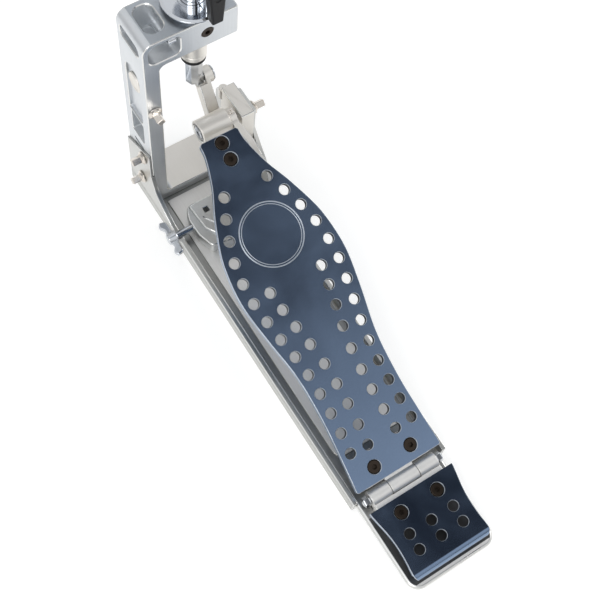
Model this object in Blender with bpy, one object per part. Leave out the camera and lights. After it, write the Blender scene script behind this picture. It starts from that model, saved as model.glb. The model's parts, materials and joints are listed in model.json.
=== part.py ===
"""Hi-hat stand: a direct-drive pedal in a C-shaped frame, with a two-legged column above it.

The script's origin is on the floor under the column's axis, +Z up, the heel towards -Y.
The pedal's own frame has its origin on the heel hinge, and the footboard's frame is tilted about it.
All dimensions below are millimetres and degrees.
"""
import math

import bmesh
import bpy
from mathutils import Matrix

MM = 0.001
GAP = 0.3
SIDES = 16
SMALL_SIDES = 12

# The column's axis stands this far to the right of the footboard's middle line
TUBE_X = 10.0

# Base
PAD_THICK = 2.0
BASE_THICK = 5.7
AXIS_ABOVE_BASE = 11.0
BASE_HALF_WIDTH = 43.9
BASE_HEEL_Y = -84.0
BASE_CORNER = 12.0
BASE_BEYOND_FRAME = 4.0
MAT_INSET = 5.0
RIDGE_HEIGHT = 1.8
RIDGE_HALF_WIDTH = 35.5
RIDGE_START_Y = 45.0
RAIL_THICK = 4.0
RAIL_START_Y = 3.0
RAIL_TOP = 0.0
EAR_TOP = 72.0
EAR_BACK_TOP = 51.0
RIGHT_EAR_TOP = 103.0
# Each ear's front edge, as distances from the frame's front or the post's front, and heights
LEFT_EAR_SWEEP = ((-43, 0), (-33, 2.5), (-23, 8), (-15, 14), (-8, 21), (-3, 30), (0, 40),
                  (1, EAR_TOP))
RIGHT_EAR_SWEEP = ((-57, 0), (-43, 14), (-17.5, 50.5), (4, 77), (4, RIGHT_EAR_TOP), (30, RIGHT_EAR_TOP),
                   (66, 60))

# Frame
FRAME_FRONT_Y = 343.0
FRAME_DEPTH = 42.0
FRAME_OVERHANG = 2.1
FRAME_ARM_RIGHT_X = 39.5
UPRIGHT_THICK = 14.0
ARM_THICK = 32.0
FRAME_TOP = 227.0
FOOT_THICK = 12.2
FRAME_OUTER_RADIUS = 10.0
FRAME_INNER_RADIUS = 6.0
FRONT_SLOT_LEFT = 5.5
FRONT_SLOT_LENGTH = 28.0
TOP_SLOT_LEFT = 10.0
TOP_SLOT_WIDTH = 17.0
TOP_SLOT_FRONT = 9.0
TOP_SLOT_BACK = 5.0
SIDE_SLOT_FRONT = 7.0
SIDE_SLOT_LENGTH = 30.0
SIDE_SLOT_DEPTH = 10.0
SLOT_RADIUS = 6.0
SLOT_BELOW_MIDDLE = 10.0
SLOT_ABOVE_MIDDLE = 12.0
POCKET_FRONT = 11.0
POCKET_WIDTH = 23.0
POCKET_DEPTH = 3.0
POCKET_LOW = 110.0
POCKET_TOP = 178.0
WINDOW_WIDTH = 21.0
WINDOW_LOW = 78.0
WINDOW_TOP = 107.0
MEDALLION_RADIUS = 9.5
MEDALLION_DROP = 22.0
POST_LEFT_X = 31.0
POST_BEFORE_FRAME = 24.0
POST_DEPTH = 35.0
POST_TOP = 109.0
STUD_RADIUS = 4.2
STUD_LOW = 93.0
STUD_TOP = 106.0

# Footboard: its outline from heel to toe, as shares of the toe's distance and of the widest place
BOARD_TOE = 329.8
BOARD_WIDEST = 52.3
BOARD_SHAPE = ((0.0318, 0.8222), (0.1364, 0.7744), (0.2426, 0.7419), (0.3669, 0.7706), (0.4851, 0.9044),
               (0.5731, 0.9885), (0.6186, 1.0), (0.6762, 0.9694), (0.7277, 0.9063), (0.8187, 0.6979),
               (0.8884, 0.501), (0.9642, 0.3614), (1.0, 0.3518))
BOARD_PITCH = 20.12
BOARD_TOP = 8.0
BOARD_THICK = 5.5
BOARD_HOLE = 9.5
HOLE_PITCH = 18.65
HOLE_INSET = 9.3
HOLE_START = 43.7
OUTER_HOLES = 14
INNER_HOLES = 9
INNER_ROW_STEP = 17.1

# Heel plate and hinge
HEEL_SLOPE = 5.2
HEEL_PLATE_TOP = 8.6
HEEL_PLATE_THICK = 4.0
HEEL_PLATE_FRONT = -11.5
HEEL_PLATE_BACK = -71.0
HEEL_LIP = 7.0
HEEL_LIP_DROP = 12.0
HEEL_HALF_WIDTH = 42.5
# The heel plate's waist, as shares of its length from the hinge and of half its width
HEEL_WAIST = ((0.098, 0.981), (0.203, 0.948), (0.398, 0.896), (0.579, 0.885), (0.759, 0.896), (0.895, 0.925),
              (0.947, 0.908), (0.977, 0.875), (1.015, 0.812))
HEEL_HOLE_STEP = 22.5
HEEL_HOLE_ROWS = (-42.2, -57.2)
HEEL_SCREW_Y = -23.8
HINGE_RADIUS = 7.5
HINGE_SIDE_ROOM = 9.9
KNUCKLE_HALF = 14.3
PIN_RADIUS = 3.0
PIN_HEAD_RADIUS = 4.9

# Countersunk screws
SCREW_HEAD_RADIUS = 6.3
SCREW_RADIUS = 3.0
SCREW_CONE = 3.4
SCREW_LENGTH = 9.0
HEEL_SCREW_X = 18.6
HEEL_SCREW_INSET = 12.6
TOE_SCREWS = (307.6, 322.9)

# Drum-key screws, and the wing bolts' threads
KEY_SCREW_DEPTH = 10.0
KEY_SCREW_RADIUS = 2.8
KEY_FLANGE_RADIUS = 6.2
KEY_HEAD_HALF = 2.9
KEY_HEAD_HEIGHT = 11.5
WING_THREAD_RADIUS = 2.5

# Drive
SHAFT_ABOVE_BASE = 112.5
SHAFT_BEFORE_COLUMN = 36.0
SHAFT_RADIUS = 4.0
BARREL_RADIUS = 11.3
BARREL_LEFT_X = -7.0
BARREL_RIGHT_X = 21.4
BEARING_RADIUS = 8.2
LINK_LEFT_X = 11.0
LINK_RIGHT_X = 22.0
LINK_THICK = 12.0
LINK_LEAN = 58.8
KNUCKLE_RADIUS = 7.7
KNUCKLE_LEFT_X = 18.2
KNUCKLE_RIGHT_X = 26.0
COUPLER_PIN_HEIGHT = 123.0
COUPLER_PIN_RADIUS = 2.5
COUPLER_PIN_HEAD = 6.8
OPEN_PIVOT_CLEARANCE = 2.0
TONGUE_HALF = 4.2
TONGUE_BELOW_PIN = 4.6
TONGUE_LEFT = 1.5
TONGUE_RIGHT = 7.5
TONGUE_ROOM = 7.6
COUPLER_RADIUS = 7.8
COUPLER_LOW = 126.0
COUPLER_HIGH = 157.0

# Column, heights above the floor
ROD_RADIUS = 3.15
ROD_ABOVE_CLUTCH = 38.0
TUBE_RADIUS = 9.5
TUBE_WALL = 1.2
TUBE_TOP = 560.0
BUSH_RADIUS = 11.25
BUSH_DROP = 33.0
FLANGE_RADIUS = 25.4
FLANGE_THICK = 6.7
FLANGE_FOOT_RADIUS = 20.0
FLANGE_FOOT = 4.2
BUMPER_THICK = 4.4
SPRING_RADIUS = 6.4
SPRING_WIRE = 1.0
SPRING_CURLS = 10
SPRING_LENGTH = 90.0
ROD_COLLAR_RADIUS = 7.7
ROD_COLLAR_THICK = 6.0

# Lever clamp at the tube's foot: the lever's place from the column's axis
LEVER_X = 3.6
LEVER_Y = -29.1
LEVER_RISE = 27.7
LEVER_THICK = 8.8
CLAMP_WALL = 6.0

# Legs
LEG_AZIMUTH = 30.0
LEG_ANGLE = 40.0
LEG_PIN_REACH = 26.0
BRACE_ABOVE_LEVER = 25.0
BRACE_LENGTH = 80.0
STRAP_WIDTH = 20.0
STRAP_THICK = 2.5
BRACE_WIDTH = 16.0
BRACE_COLLAR_RISE = -6.0
LUG_HALF = 3.0
LEG_PIN_RADIUS = 2.5
PIVOT_CLEARANCE = 3.2
FOOT_HALF = 11.0
FOOT_THICK_HALF = 10.0
FOOT_GRIP = 15.0
COLLAR_RADIUS = 15.0
COLLAR_HEIGHT = 20.0

# Upper tube, seat and clutch
UPPER_RADIUS = 7.9
UPPER_WALL = 1.5
UPPER_LOW = 430.0
UPPER_TOP = 800.0
HEIGHT_CLAMP_HEIGHT = 34.0
SEAT_RADIUS = 24.0
SEAT_THICK = 5.0
FELT_RADIUS = 21.0
FELT_THICK = 8.0
CLUTCH_ABOVE_TUBE = 80.0
CLUTCH_RADIUS = 6.5
CLUTCH_LENGTH = 62.0
CLUTCH_HEAD_RADIUS = 11.0
CLUTCH_HEAD = 20.0
CYMBAL_ROOM = 3.0

# Side wing screw and the cast block that it holds
WING_BEFORE_FRAME = 45.0
WING_HEIGHT = 20.0
WING_SPAN = 19.0
WING_SHANK_RADIUS = 3.4
BLOCK_BEFORE_FRAME = 25.0
BLOCK_LENGTH = 53.0
BLOCK_LEFT_X = -32.0
BLOCK_RIGHT_X = 4.0
BLOCK_TOP = 9.5

# Worked out from the values above
HINGE_HEIGHT = PAD_THICK + GAP + BASE_THICK + AXIS_ABOVE_BASE
BASE_TOP = -AXIS_ABOVE_BASE
BASE_LOW = BASE_TOP - BASE_THICK
FLOOR = -HINGE_HEIGHT
FRAME_LEFT_X = -(BASE_HALF_WIDTH + FRAME_OVERHANG)
FRAME_BACK_Y = FRAME_FRONT_Y + FRAME_DEPTH
TUBE_Y = FRAME_FRONT_Y + FRAME_DEPTH / 2
SHAFT_Y = TUBE_Y - SHAFT_BEFORE_COLUMN
POST_FRONT_Y = FRAME_FRONT_Y - POST_BEFORE_FRAME
WING_Y = FRAME_FRONT_Y - WING_BEFORE_FRAME
BLOCK_FRONT_Y = FRAME_FRONT_Y - BLOCK_BEFORE_FRAME
BLOCK_BACK_Y = BLOCK_FRONT_Y - BLOCK_LENGTH
HINGE_HALF_LENGTH = BASE_HALF_WIDTH - HINGE_SIDE_ROOM
UPRIGHT_RIGHT_X = FRAME_LEFT_X + UPRIGHT_THICK
ARM_LOW = FRAME_TOP - ARM_THICK
FRAME_FOOT_LOW = BASE_TOP + GAP
FRAME_FOOT_TOP = FRAME_FOOT_LOW + FOOT_THICK
RAIL_INNER = BASE_HALF_WIDTH + GAP
RAIL_OUTER = RAIL_INNER + RAIL_THICK
RAIL_LOW = BASE_LOW - 1.8
BOARD_LOW = BOARD_TOP - BOARD_THICK
BOARD_STATIONS = tuple((BOARD_TOE * run, BOARD_WIDEST * share) for run, share in BOARD_SHAPE)
BOARD_HEEL = BOARD_STATIONS[0][0]
SHAFT_Z = BASE_TOP + SHAFT_ABOVE_BASE
BUSH_LOW = ARM_LOW - BUSH_DROP
TUBE_SEAT = ARM_LOW - 5.0
FLANGE_TOP = FRAME_TOP + GAP + FLANGE_THICK
BORE = TUBE_RADIUS - TUBE_WALL
SPRING_SEAT = TUBE_SEAT + HINGE_HEIGHT
LEVER_SEAT = FLANGE_TOP + HINGE_HEIGHT + GAP
LEVER_HEIGHT = LEVER_SEAT + LEVER_RISE
BRACE_PIN_HEIGHT = LEVER_HEIGHT + BRACE_ABOVE_LEVER
LEG_PIN_HEIGHT = BRACE_PIN_HEIGHT + 2 * BRACE_LENGTH * math.cos(math.radians(LEG_ANGLE))
LEG_LENGTH = (LEG_PIN_HEIGHT - FOOT_GRIP) / math.cos(math.radians(LEG_ANGLE)) - 3.0
LEG_INNER = LUG_HALF + GAP
LEG_OUTER = LEG_INNER + STRAP_THICK
WING_Z = WING_HEIGHT - HINGE_HEIGHT
CLUTCH_BOTTOM = UPPER_TOP + CLUTCH_ABOVE_TUBE
ROD_TOP = CLUTCH_BOTTOM + CLUTCH_LENGTH + ROD_ABOVE_CLUTCH
KEY_SCREW_SPOTS = ((FRAME_FRONT_Y + 12.0, 57.0), (FRAME_FRONT_Y + 16.5, 18.0))
POST_SCREW_SPOT = (POST_FRONT_Y + 11.0, POST_TOP - 12.0)
FRONT_SCREW_SPOT = (FRAME_LEFT_X + 6.7, 138.0)
ARM_SCREW_SPOT = (TUBE_X + 1.6, FRAME_TOP - 16.0)


def clear_scene():
    for old in list(bpy.data.objects):
        bpy.data.objects.remove(old, do_unlink=True)


def finish(name, colour, roughness, metallic):
    """A Principled material with one colour."""
    material = bpy.data.materials.new(name)
    material.use_nodes = True
    shader = material.node_tree.nodes["Principled BSDF"]
    shader.inputs["Base Color"].default_value = (*colour, 1.0)
    shader.inputs["Roughness"].default_value = roughness
    shader.inputs["Metallic"].default_value = metallic
    material.diffuse_color = (*colour, 1.0)
    return material


def empty(name, at=(0, 0, 0), turn=None, parent=None):
    """A named frame that pieces are placed in."""
    frame = bpy.data.objects.new(name, None)
    bpy.context.collection.objects.link(frame)
    frame.parent = parent
    frame.matrix_local = Matrix.Translation([value * MM for value in at]) @ (turn or Matrix.Identity(4))
    return frame


def turned_about(axis, degrees):
    return Matrix.Rotation(math.radians(degrees), 4, axis)


def oriented(point, along):
    """Take a local point (u, v, w) to x, y, z with w lying along the named axis."""
    u, v, w = point
    if along == "x":
        return (w, u, v)
    if along == "y":
        return (u, w, v)
    return (u, v, w)


def loft(rings, along="z", at=(0, 0, 0), looped=False):
    """Skin a list of equal rings. It ends in flat caps, or is looped back on itself as a tube wall."""
    count = len(rings[0])
    points = []
    for ring in rings:
        for point in ring:
            x, y, z = oriented(point, along)
            points.append((x + at[0], y + at[1], z + at[2]))
    faces = []
    spans = len(rings) if looped else len(rings) - 1
    for level in range(spans):
        low = level * count
        high = ((level + 1) % len(rings)) * count
        for step in range(count):
            after = (step + 1) % count
            faces.append((low + step, low + after, high + after, high + step))
    if not looped:
        faces.append(tuple(reversed(range(count))))
        faces.append(tuple(range((len(rings) - 1) * count, len(rings) * count)))
    return points, faces


def circle(radius, height, sides=SIDES):
    steps = [2 * math.pi * index / sides for index in range(sides)]
    return [(radius * math.cos(angle), radius * math.sin(angle), height) for angle in steps]


def square(half, height, sides=SIDES):
    ring = []
    for index in range(sides):
        angle = 2 * math.pi * index / sides
        reach = half / max(abs(math.cos(angle)), abs(math.sin(angle)))
        ring.append((reach * math.cos(angle), reach * math.sin(angle), height))
    return ring


def turned(profile, along="z", at=(0, 0, 0), sides=SIDES, looped=False):
    """A turned piece from (radius, height) points."""
    return loft([circle(radius, height, sides) for radius, height in profile], along, at, looped)


def pipe(outer, inner, low, high, along="z", at=(0, 0, 0), sides=SIDES):
    profile = ((outer, low), (outer, high), (inner, high), (inner, low))
    return turned(profile, along, at, sides, looped=True)


def prism(outline, low, high, along="z", at=(0, 0, 0)):
    return loft([[(u, v, low) for u, v in outline], [(u, v, high) for u, v in outline]], along, at)


def slab(outline, low, high, along="z", at=(0, 0, 0)):
    """A plate whose outline is drawn in (u, w), so that it holds the axis w."""
    return loft([[(u, low, w) for u, w in outline], [(u, high, w) for u, w in outline]], along, at)


def box(x_low, x_high, y_low, y_high, z_low, z_high):
    corners = ((x_low, y_low), (x_high, y_low), (x_high, y_high), (x_low, y_high))
    return prism(corners, z_low, z_high)


def rounded(corners, steps=4):
    """An outline whose (u, v, radius) corners are arcs. A radius of 0 leaves the corner sharp."""
    outline = []
    count = len(corners)
    for index, (u, v, radius) in enumerate(corners):
        if radius == 0:
            outline.append((u, v))
            continue
        before, after = corners[index - 1], corners[(index + 1) % count]
        to_before = math.atan2(before[1] - v, before[0] - u)
        to_after = math.atan2(after[1] - v, after[0] - u)
        opening = (to_after - to_before + math.pi) % (2 * math.pi) - math.pi
        middle = to_before + opening / 2
        reach = radius / math.sin(abs(opening) / 2)
        centre_u, centre_v = u + reach * math.cos(middle), v + reach * math.sin(middle)
        sweep = math.pi - abs(opening)
        side = 1 if opening < 0 else -1
        for step in range(steps + 1):
            angle = middle + math.pi + side * sweep * (step / steps - 0.5)
            outline.append((centre_u + radius * math.cos(angle), centre_v + radius * math.sin(angle)))
    return outline


def stadium(width, start, end, steps=5):
    """A strap's outline along v, with round ends whose centres are at start and end."""
    outline = []
    for centre, first in ((end, 0.0), (start, math.pi)):
        for step in range(steps + 1):
            angle = first + math.pi * step / steps
            outline.append((width / 2 * math.cos(angle), centre + width / 2 * math.sin(angle)))
    return outline


def mesh_of(name, shapes):
    """One mesh, in metres, from several closed shapes."""
    work = bmesh.new()
    for points, faces in shapes:
        corners = [work.verts.new([value * MM for value in point]) for point in points]
        for face in faces:
            work.faces.new([corners[index] for index in face])
    bmesh.ops.recalc_face_normals(work, faces=work.faces)
    mesh = bpy.data.meshes.new(name)
    work.to_mesh(mesh)
    work.free()
    mesh.shade_smooth()
    mesh.set_sharp_from_angle(angle=math.radians(32))
    return mesh


def make(name, shapes, material, parent=None):
    piece = bpy.data.objects.new(name, mesh_of(name, shapes))
    bpy.context.collection.objects.link(piece)
    piece.data.materials.append(material)
    piece.parent = parent
    return piece


def combine(piece, shapes, operation):
    """Cut shapes out of a piece, or unite them with it, one after another."""
    for shape in shapes:
        name = f"{piece.name}_{operation.lower()}_{len(piece.modifiers)}"
        helper = bpy.data.objects.new(name, mesh_of(name, [shape]))
        bpy.context.collection.objects.link(helper)
        helper.parent = piece.parent
        helper.hide_render = True
        helper.display_type = "WIRE"
        step = piece.modifiers.new(name, "BOOLEAN")
        step.operation = operation
        step.object = helper
    return piece


def cut(piece, *shapes):
    return combine(piece, shapes, "DIFFERENCE")


def cut_together(piece, shapes):
    """Cut several shapes that don't touch each other in one step."""
    points, faces = [], []
    for shape_points, shape_faces in shapes:
        offset = len(points)
        points += shape_points
        faces += [tuple(index + offset for index in face) for face in shape_faces]
    return combine(piece, [(points, faces)], "DIFFERENCE")


def fuse(piece, *shapes):
    return combine(piece, shapes, "UNION")


def countersunk(along="z", at=(0, 0, 0), side=1, length=SCREW_LENGTH):
    """A countersunk screw with a hexagon socket, its head flush with the point given."""
    socket = 2.3
    rings = [circle(socket, -2.4 * side, SMALL_SIDES), circle(socket, 0, SMALL_SIDES)]
    for radius, depth in ((SCREW_HEAD_RADIUS, 0), (SCREW_HEAD_RADIUS, 0.4), (SCREW_RADIUS, SCREW_CONE),
                          (SCREW_RADIUS, length)):
        rings.append(circle(radius, -depth * side, SMALL_SIDES))
    return loft(rings, along, at)


def countersink(along="z", at=(0, 0, 0), side=1, length=SCREW_LENGTH):
    """The room that a countersunk screw takes, with its clearance."""
    wide, narrow = SCREW_HEAD_RADIUS + 0.5, SCREW_RADIUS + GAP
    profile = ((wide, 1.0 * side), (wide, -0.6 * side), (narrow, -(SCREW_CONE + GAP) * side),
               (narrow, -(length + 1.0) * side))
    return turned(profile, along, at, SMALL_SIDES)


def key_screw(along, at, side):
    """A square-headed drum-key screw with its flange resting on the point given."""
    rings = []
    for radius, height in ((KEY_SCREW_RADIUS, -KEY_SCREW_DEPTH), (KEY_SCREW_RADIUS, 0),
                           (KEY_FLANGE_RADIUS, 0), (KEY_FLANGE_RADIUS, 1.4),
                           (KEY_FLANGE_RADIUS - 1.6, 2.2), (KEY_HEAD_HALF + 1.0, 4.0)):
        rings.append(circle(radius, height * side))
    rings.append(square(KEY_HEAD_HALF, 4.6 * side))
    rings.append(square(KEY_HEAD_HALF, KEY_HEAD_HEIGHT * side))
    return loft(rings, along, at)


def key_hole(along, at, side):
    room = KEY_SCREW_RADIUS + GAP
    profile = ((room, -(KEY_SCREW_DEPTH + 0.8) * side), (room, 6.0 * side))
    return turned(profile, along, at, SMALL_SIDES)


def thread_hole(start, end, at):
    """The room for a wing bolt's thread or a lever's shank, running along Y."""
    room = WING_THREAD_RADIUS + GAP
    return turned(((room, start), (room, end)), "y", at, SMALL_SIDES)


def wing_bolt(name, material, parent, along, side, spindle_radius, spindle, span, hub=10.0, thick=5.0):
    """A wing bolt on its own axis: the hub starts at 0 on the side given, the spindle runs the other way."""
    profile = ((spindle_radius, -spindle * side), (spindle_radius, 0), (5.8, 0), (6.2, 1.0 * side),
               (5.2, hub * side))
    piece = make(name, [turned(profile, along, sides=SMALL_SIDES)], material, parent)
    for way in (-1, 1):
        corners = ((3.0 * way, 1.2 * side, 0), (9.0 * way, 1.0 * side, 0),
                   ((span - 2.0) * way, 1.6 * side, 2.0), (span * way, 8.0 * side, 2.0),
                   ((span - 5.0) * way, (hub + 1.5) * side, 2.0), (9.0 * way, (hub - 2.0) * side, 0),
                   (3.0 * way, (hub - 1.0) * side, 0))
        fuse(piece, slab(rounded(corners, 2), -thick / 2, thick / 2, along))
    return piece


def half_width(distance):
    """Half the footboard's width, on a smooth curve through its stations."""
    stations = BOARD_STATIONS
    last = len(stations) - 1

    def slope(index):
        low, high = max(index - 1, 0), min(index + 1, last)
        return (stations[high][1] - stations[low][1]) / (stations[high][0] - stations[low][0])

    index = 0
    while index < last - 1 and distance > stations[index + 1][0]:
        index += 1
    (s0, w0), (s1, w1) = stations[index], stations[index + 1]
    span = s1 - s0
    t = (distance - s0) / span
    return ((2 * t ** 3 - 3 * t ** 2 + 1) * w0 + (t ** 3 - 2 * t ** 2 + t) * span * slope(index)
            + (3 * t ** 2 - 2 * t ** 3) * w1 + (t ** 3 - t ** 2) * span * slope(index + 1))


def edge_slope(distance):
    step = 2.0
    return (half_width(distance + step) - half_width(distance - step)) / (2 * step)


def inset_point(distance, inset):
    """A point that lies the inset inside the footboard's edge, measured square to the edge."""
    slope = edge_slope(distance)
    scale = inset / math.hypot(1.0, slope)
    return half_width(distance) - scale, distance + slope * scale


def board_holes():
    """Both rows of holes on one side: even steps along a line inside the edge."""
    spots = []
    distance = HOLE_START
    for index in range(OUTER_HOLES):
        spots.append(inset_point(distance, HOLE_INSET))
        if index < INNER_HOLES:
            spots.append(inset_point(distance, HOLE_INSET + INNER_ROW_STEP))
        gone = 0.0
        last = inset_point(distance, HOLE_INSET)
        while gone < HOLE_PITCH:
            distance += 0.1
            point = inset_point(distance, HOLE_INSET)
            gone += math.dist(point, last)
            last = point
    return spots


def board_outline():
    steps = 30
    span = BOARD_TOE - BOARD_HEEL
    side = [(half_width(BOARD_HEEL + span * step / steps), BOARD_HEEL + span * step / steps)
            for step in range(steps + 1)]
    corners = []
    for index, (width, distance) in enumerate(side):
        radius = 2.0 if index == 0 else 3.0 if index == steps else 0
        corners.append((width, distance, radius))
    corners += [(-width, distance, radius) for width, distance, radius in reversed(corners)]
    return rounded(corners, 3)


def build_base(pedal):
    toe_y = FRAME_BACK_Y + BASE_BEYOND_FRAME
    width = BASE_HALF_WIDTH
    outline = rounded(((-width, BASE_HEEL_Y, BASE_CORNER), (width, BASE_HEEL_Y, BASE_CORNER),
                       (width, toe_y, 2.0), (-width, toe_y, 2.0)), 5)
    plate = make("base_plate", [prism(outline, BASE_LOW, BASE_TOP)], STEEL, pedal)
    ridge_end = FRAME_FRONT_Y - 4.0
    ridge = rounded(((-RIDGE_HALF_WIDTH, RIDGE_START_Y, 9.0), (RIDGE_HALF_WIDTH, RIDGE_START_Y, 9.0),
                     (RIDGE_HALF_WIDTH, ridge_end, 0), (-RIDGE_HALF_WIDTH, ridge_end, 0)))
    fuse(plate, prism(ridge, BASE_TOP - 1.0, BASE_TOP + RIDGE_HEIGHT))
    inset, low, high = width - MAT_INSET, BASE_HEEL_Y + MAT_INSET, toe_y - MAT_INSET
    corners = ((-inset, low, 8.0), (inset, low, 8.0), (inset, high, 4.0), (-inset, high, 4.0))
    make("base_mat", [prism(rounded(corners), FLOOR, FLOOR + PAD_THICK)], RUBBER, pedal)


def build_rails(pedal):
    back = FRAME_BACK_Y
    sweep = [(FRAME_FRONT_Y + run, height) for run, height in LEFT_EAR_SWEEP]
    left = [(RAIL_START_Y, RAIL_LOW), (RAIL_START_Y, RAIL_TOP), *sweep, (back, EAR_BACK_TOP), (back, RAIL_LOW)]
    rail = make("left_rail", [prism(left, -RAIL_OUTER, -RAIL_INNER, "x")], ALUMINIUM, pedal)
    notch = box(-RAIL_OUTER - 1, -RAIL_INNER + 1, WING_Y - 4, WING_Y + 4, WING_Z - 4, RAIL_TOP + 5)
    cut_together(rail, [notch, *(key_hole("x", (-RAIL_OUTER, y, z), -1) for y, z in KEY_SCREW_SPOTS)])
    cut(rail, box(FRAME_LEFT_X - GAP, 0, FRAME_FRONT_Y - GAP, back + 1, FRAME_FOOT_LOW - GAP, EAR_TOP + 1))
    sweep = [(POST_FRONT_Y + run, height) for run, height in RIGHT_EAR_SWEEP]
    right = [(RAIL_START_Y, RAIL_LOW), (RAIL_START_Y, RAIL_TOP), *sweep, (back, RAIL_LOW)]
    rail = make("right_rail", [prism(right, RAIL_INNER, RAIL_OUTER, "x")], ALUMINIUM, pedal)
    cut(rail, key_hole("x", (RAIL_OUTER, *POST_SCREW_SPOT), 1))


def slot_outline(u_low, u_high, v_low, v_high, radius=SLOT_RADIUS):
    """A rectangular opening with rounded corners."""
    return rounded(((u_low, v_low, radius), (u_high, v_low, radius), (u_high, v_high, radius),
                    (u_low, v_high, radius)), 3)


def build_frame(pedal):
    left, inner, right = FRAME_LEFT_X, UPRIGHT_RIGHT_X, FRAME_ARM_RIGHT_X
    foot_right = POST_LEFT_X - GAP
    corners = ((left, FRAME_FOOT_LOW, 0), (foot_right, FRAME_FOOT_LOW, 0), (foot_right, FRAME_FOOT_TOP, 0),
               (inner, FRAME_FOOT_TOP, FRAME_INNER_RADIUS), (inner, ARM_LOW, FRAME_INNER_RADIUS),
               (right, ARM_LOW, 2.0), (right, FRAME_TOP, 2.0), (left, FRAME_TOP, FRAME_OUTER_RADIUS))
    frame = make("c_frame", [prism(rounded(corners), FRAME_FRONT_Y, FRAME_BACK_Y, "y")], ALUMINIUM, pedal)
    middle = (ARM_LOW + FRAME_TOP) / 2
    low, high = middle - SLOT_BELOW_MIDDLE, middle + SLOT_ABOVE_MIDDLE
    slot_left, slot_right = left + FRONT_SLOT_LEFT, left + FRONT_SLOT_LEFT + FRONT_SLOT_LENGTH
    front_slot = slot_outline(slot_left, slot_right, low, high)
    top_slot = slot_outline(left + TOP_SLOT_LEFT, left + TOP_SLOT_LEFT + TOP_SLOT_WIDTH,
                            FRAME_FRONT_Y + TOP_SLOT_FRONT, FRAME_BACK_Y - TOP_SLOT_BACK, SLOT_RADIUS + 1)
    side_front = FRAME_FRONT_Y + SIDE_SLOT_FRONT
    side_slot = slot_outline(side_front, side_front + SIDE_SLOT_LENGTH, low + 5, high - 5, SLOT_RADIUS - 1)
    front = FRAME_FRONT_Y + POCKET_FRONT
    pocket = rounded(((front, POCKET_LOW, 2), (front + POCKET_WIDTH, POCKET_LOW, 2),
                      (front + POCKET_WIDTH, POCKET_TOP, POCKET_WIDTH / 2 - 0.1),
                      (front, POCKET_TOP, POCKET_WIDTH / 2 - 0.1)), 3)
    window = ((front, WINDOW_LOW), (front + WINDOW_WIDTH, WINDOW_LOW), (front + WINDOW_WIDTH, WINDOW_TOP),
              (front, WINDOW_TOP))
    cut(frame, prism(front_slot, FRAME_FRONT_Y - 1, FRAME_BACK_Y + 1, "y"))
    cut(frame, prism(top_slot, ARM_LOW - 1, FRAME_TOP + 1))
    cut(frame, prism(side_slot, left - 1, left + SIDE_SLOT_DEPTH, "x"))
    floor = left + POCKET_DEPTH
    holes = [prism(pocket, left - 1, floor, "x"), prism(window, left - 1, inner + 1, "x"),
             turned(((BUSH_RADIUS + GAP, ARM_LOW - 1), (BUSH_RADIUS + GAP, FRAME_TOP + 1)), "z",
                    (TUBE_X, TUBE_Y, 0)),
             key_hole("y", (FRONT_SCREW_SPOT[0], FRAME_FRONT_Y, FRONT_SCREW_SPOT[1]), -1),
             countersink("y", (ARM_SCREW_SPOT[0], FRAME_FRONT_Y, ARM_SCREW_SPOT[1]), -1, 7.0)]
    holes += [key_hole("x", (left, y, z), -1) for y, z in KEY_SCREW_SPOTS]
    cut_together(frame, holes)
    disc = ((MEDALLION_RADIUS, floor - GAP), (MEDALLION_RADIUS, floor - 1.4),
            (MEDALLION_RADIUS - 1.1, floor - 2))
    disc_middle = (0, front + POCKET_WIDTH / 2 + 0.1, POCKET_TOP - MEDALLION_DROP)
    make("side_medallion", [turned(disc, "x", disc_middle)], CHROME, pedal)
    arm_spot = (ARM_SCREW_SPOT[0], FRAME_FRONT_Y + 0.1, ARM_SCREW_SPOT[1])
    make("arm_screw", [countersunk("y", arm_spot, -1, 7.0)], BLACK_STEEL, pedal)
    post_y = (POST_FRONT_Y, POST_FRONT_Y + POST_DEPTH)
    post_low = BASE_TOP + RIDGE_HEIGHT + GAP
    post = make("right_post", [box(POST_LEFT_X, BASE_HALF_WIDTH, *post_y, post_low, POST_TOP)], ALUMINIUM,
                pedal)
    fuse(post, turned(((STUD_RADIUS, STUD_LOW), (STUD_RADIUS, STUD_TOP)), "z",
                      (POST_LEFT_X + 3, post_y[1] + 1, 0)))
    cut(post, key_hole("x", (BASE_HALF_WIDTH, *POST_SCREW_SPOT), 1))
    for name, (y, z) in zip(("ear_screw_upper", "ear_screw_lower"), KEY_SCREW_SPOTS):
        make(name, [key_screw("x", (-RAIL_OUTER - GAP, y, z), -1)], CHROME, pedal)
    make("post_screw", [key_screw("x", (RAIL_OUTER + GAP, *POST_SCREW_SPOT), 1)], CHROME, pedal)
    front = (FRONT_SCREW_SPOT[0], FRAME_FRONT_Y - GAP, FRONT_SCREW_SPOT[1])
    make("upright_screw", [key_screw("y", front, -1)], CHROME, pedal)


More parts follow.
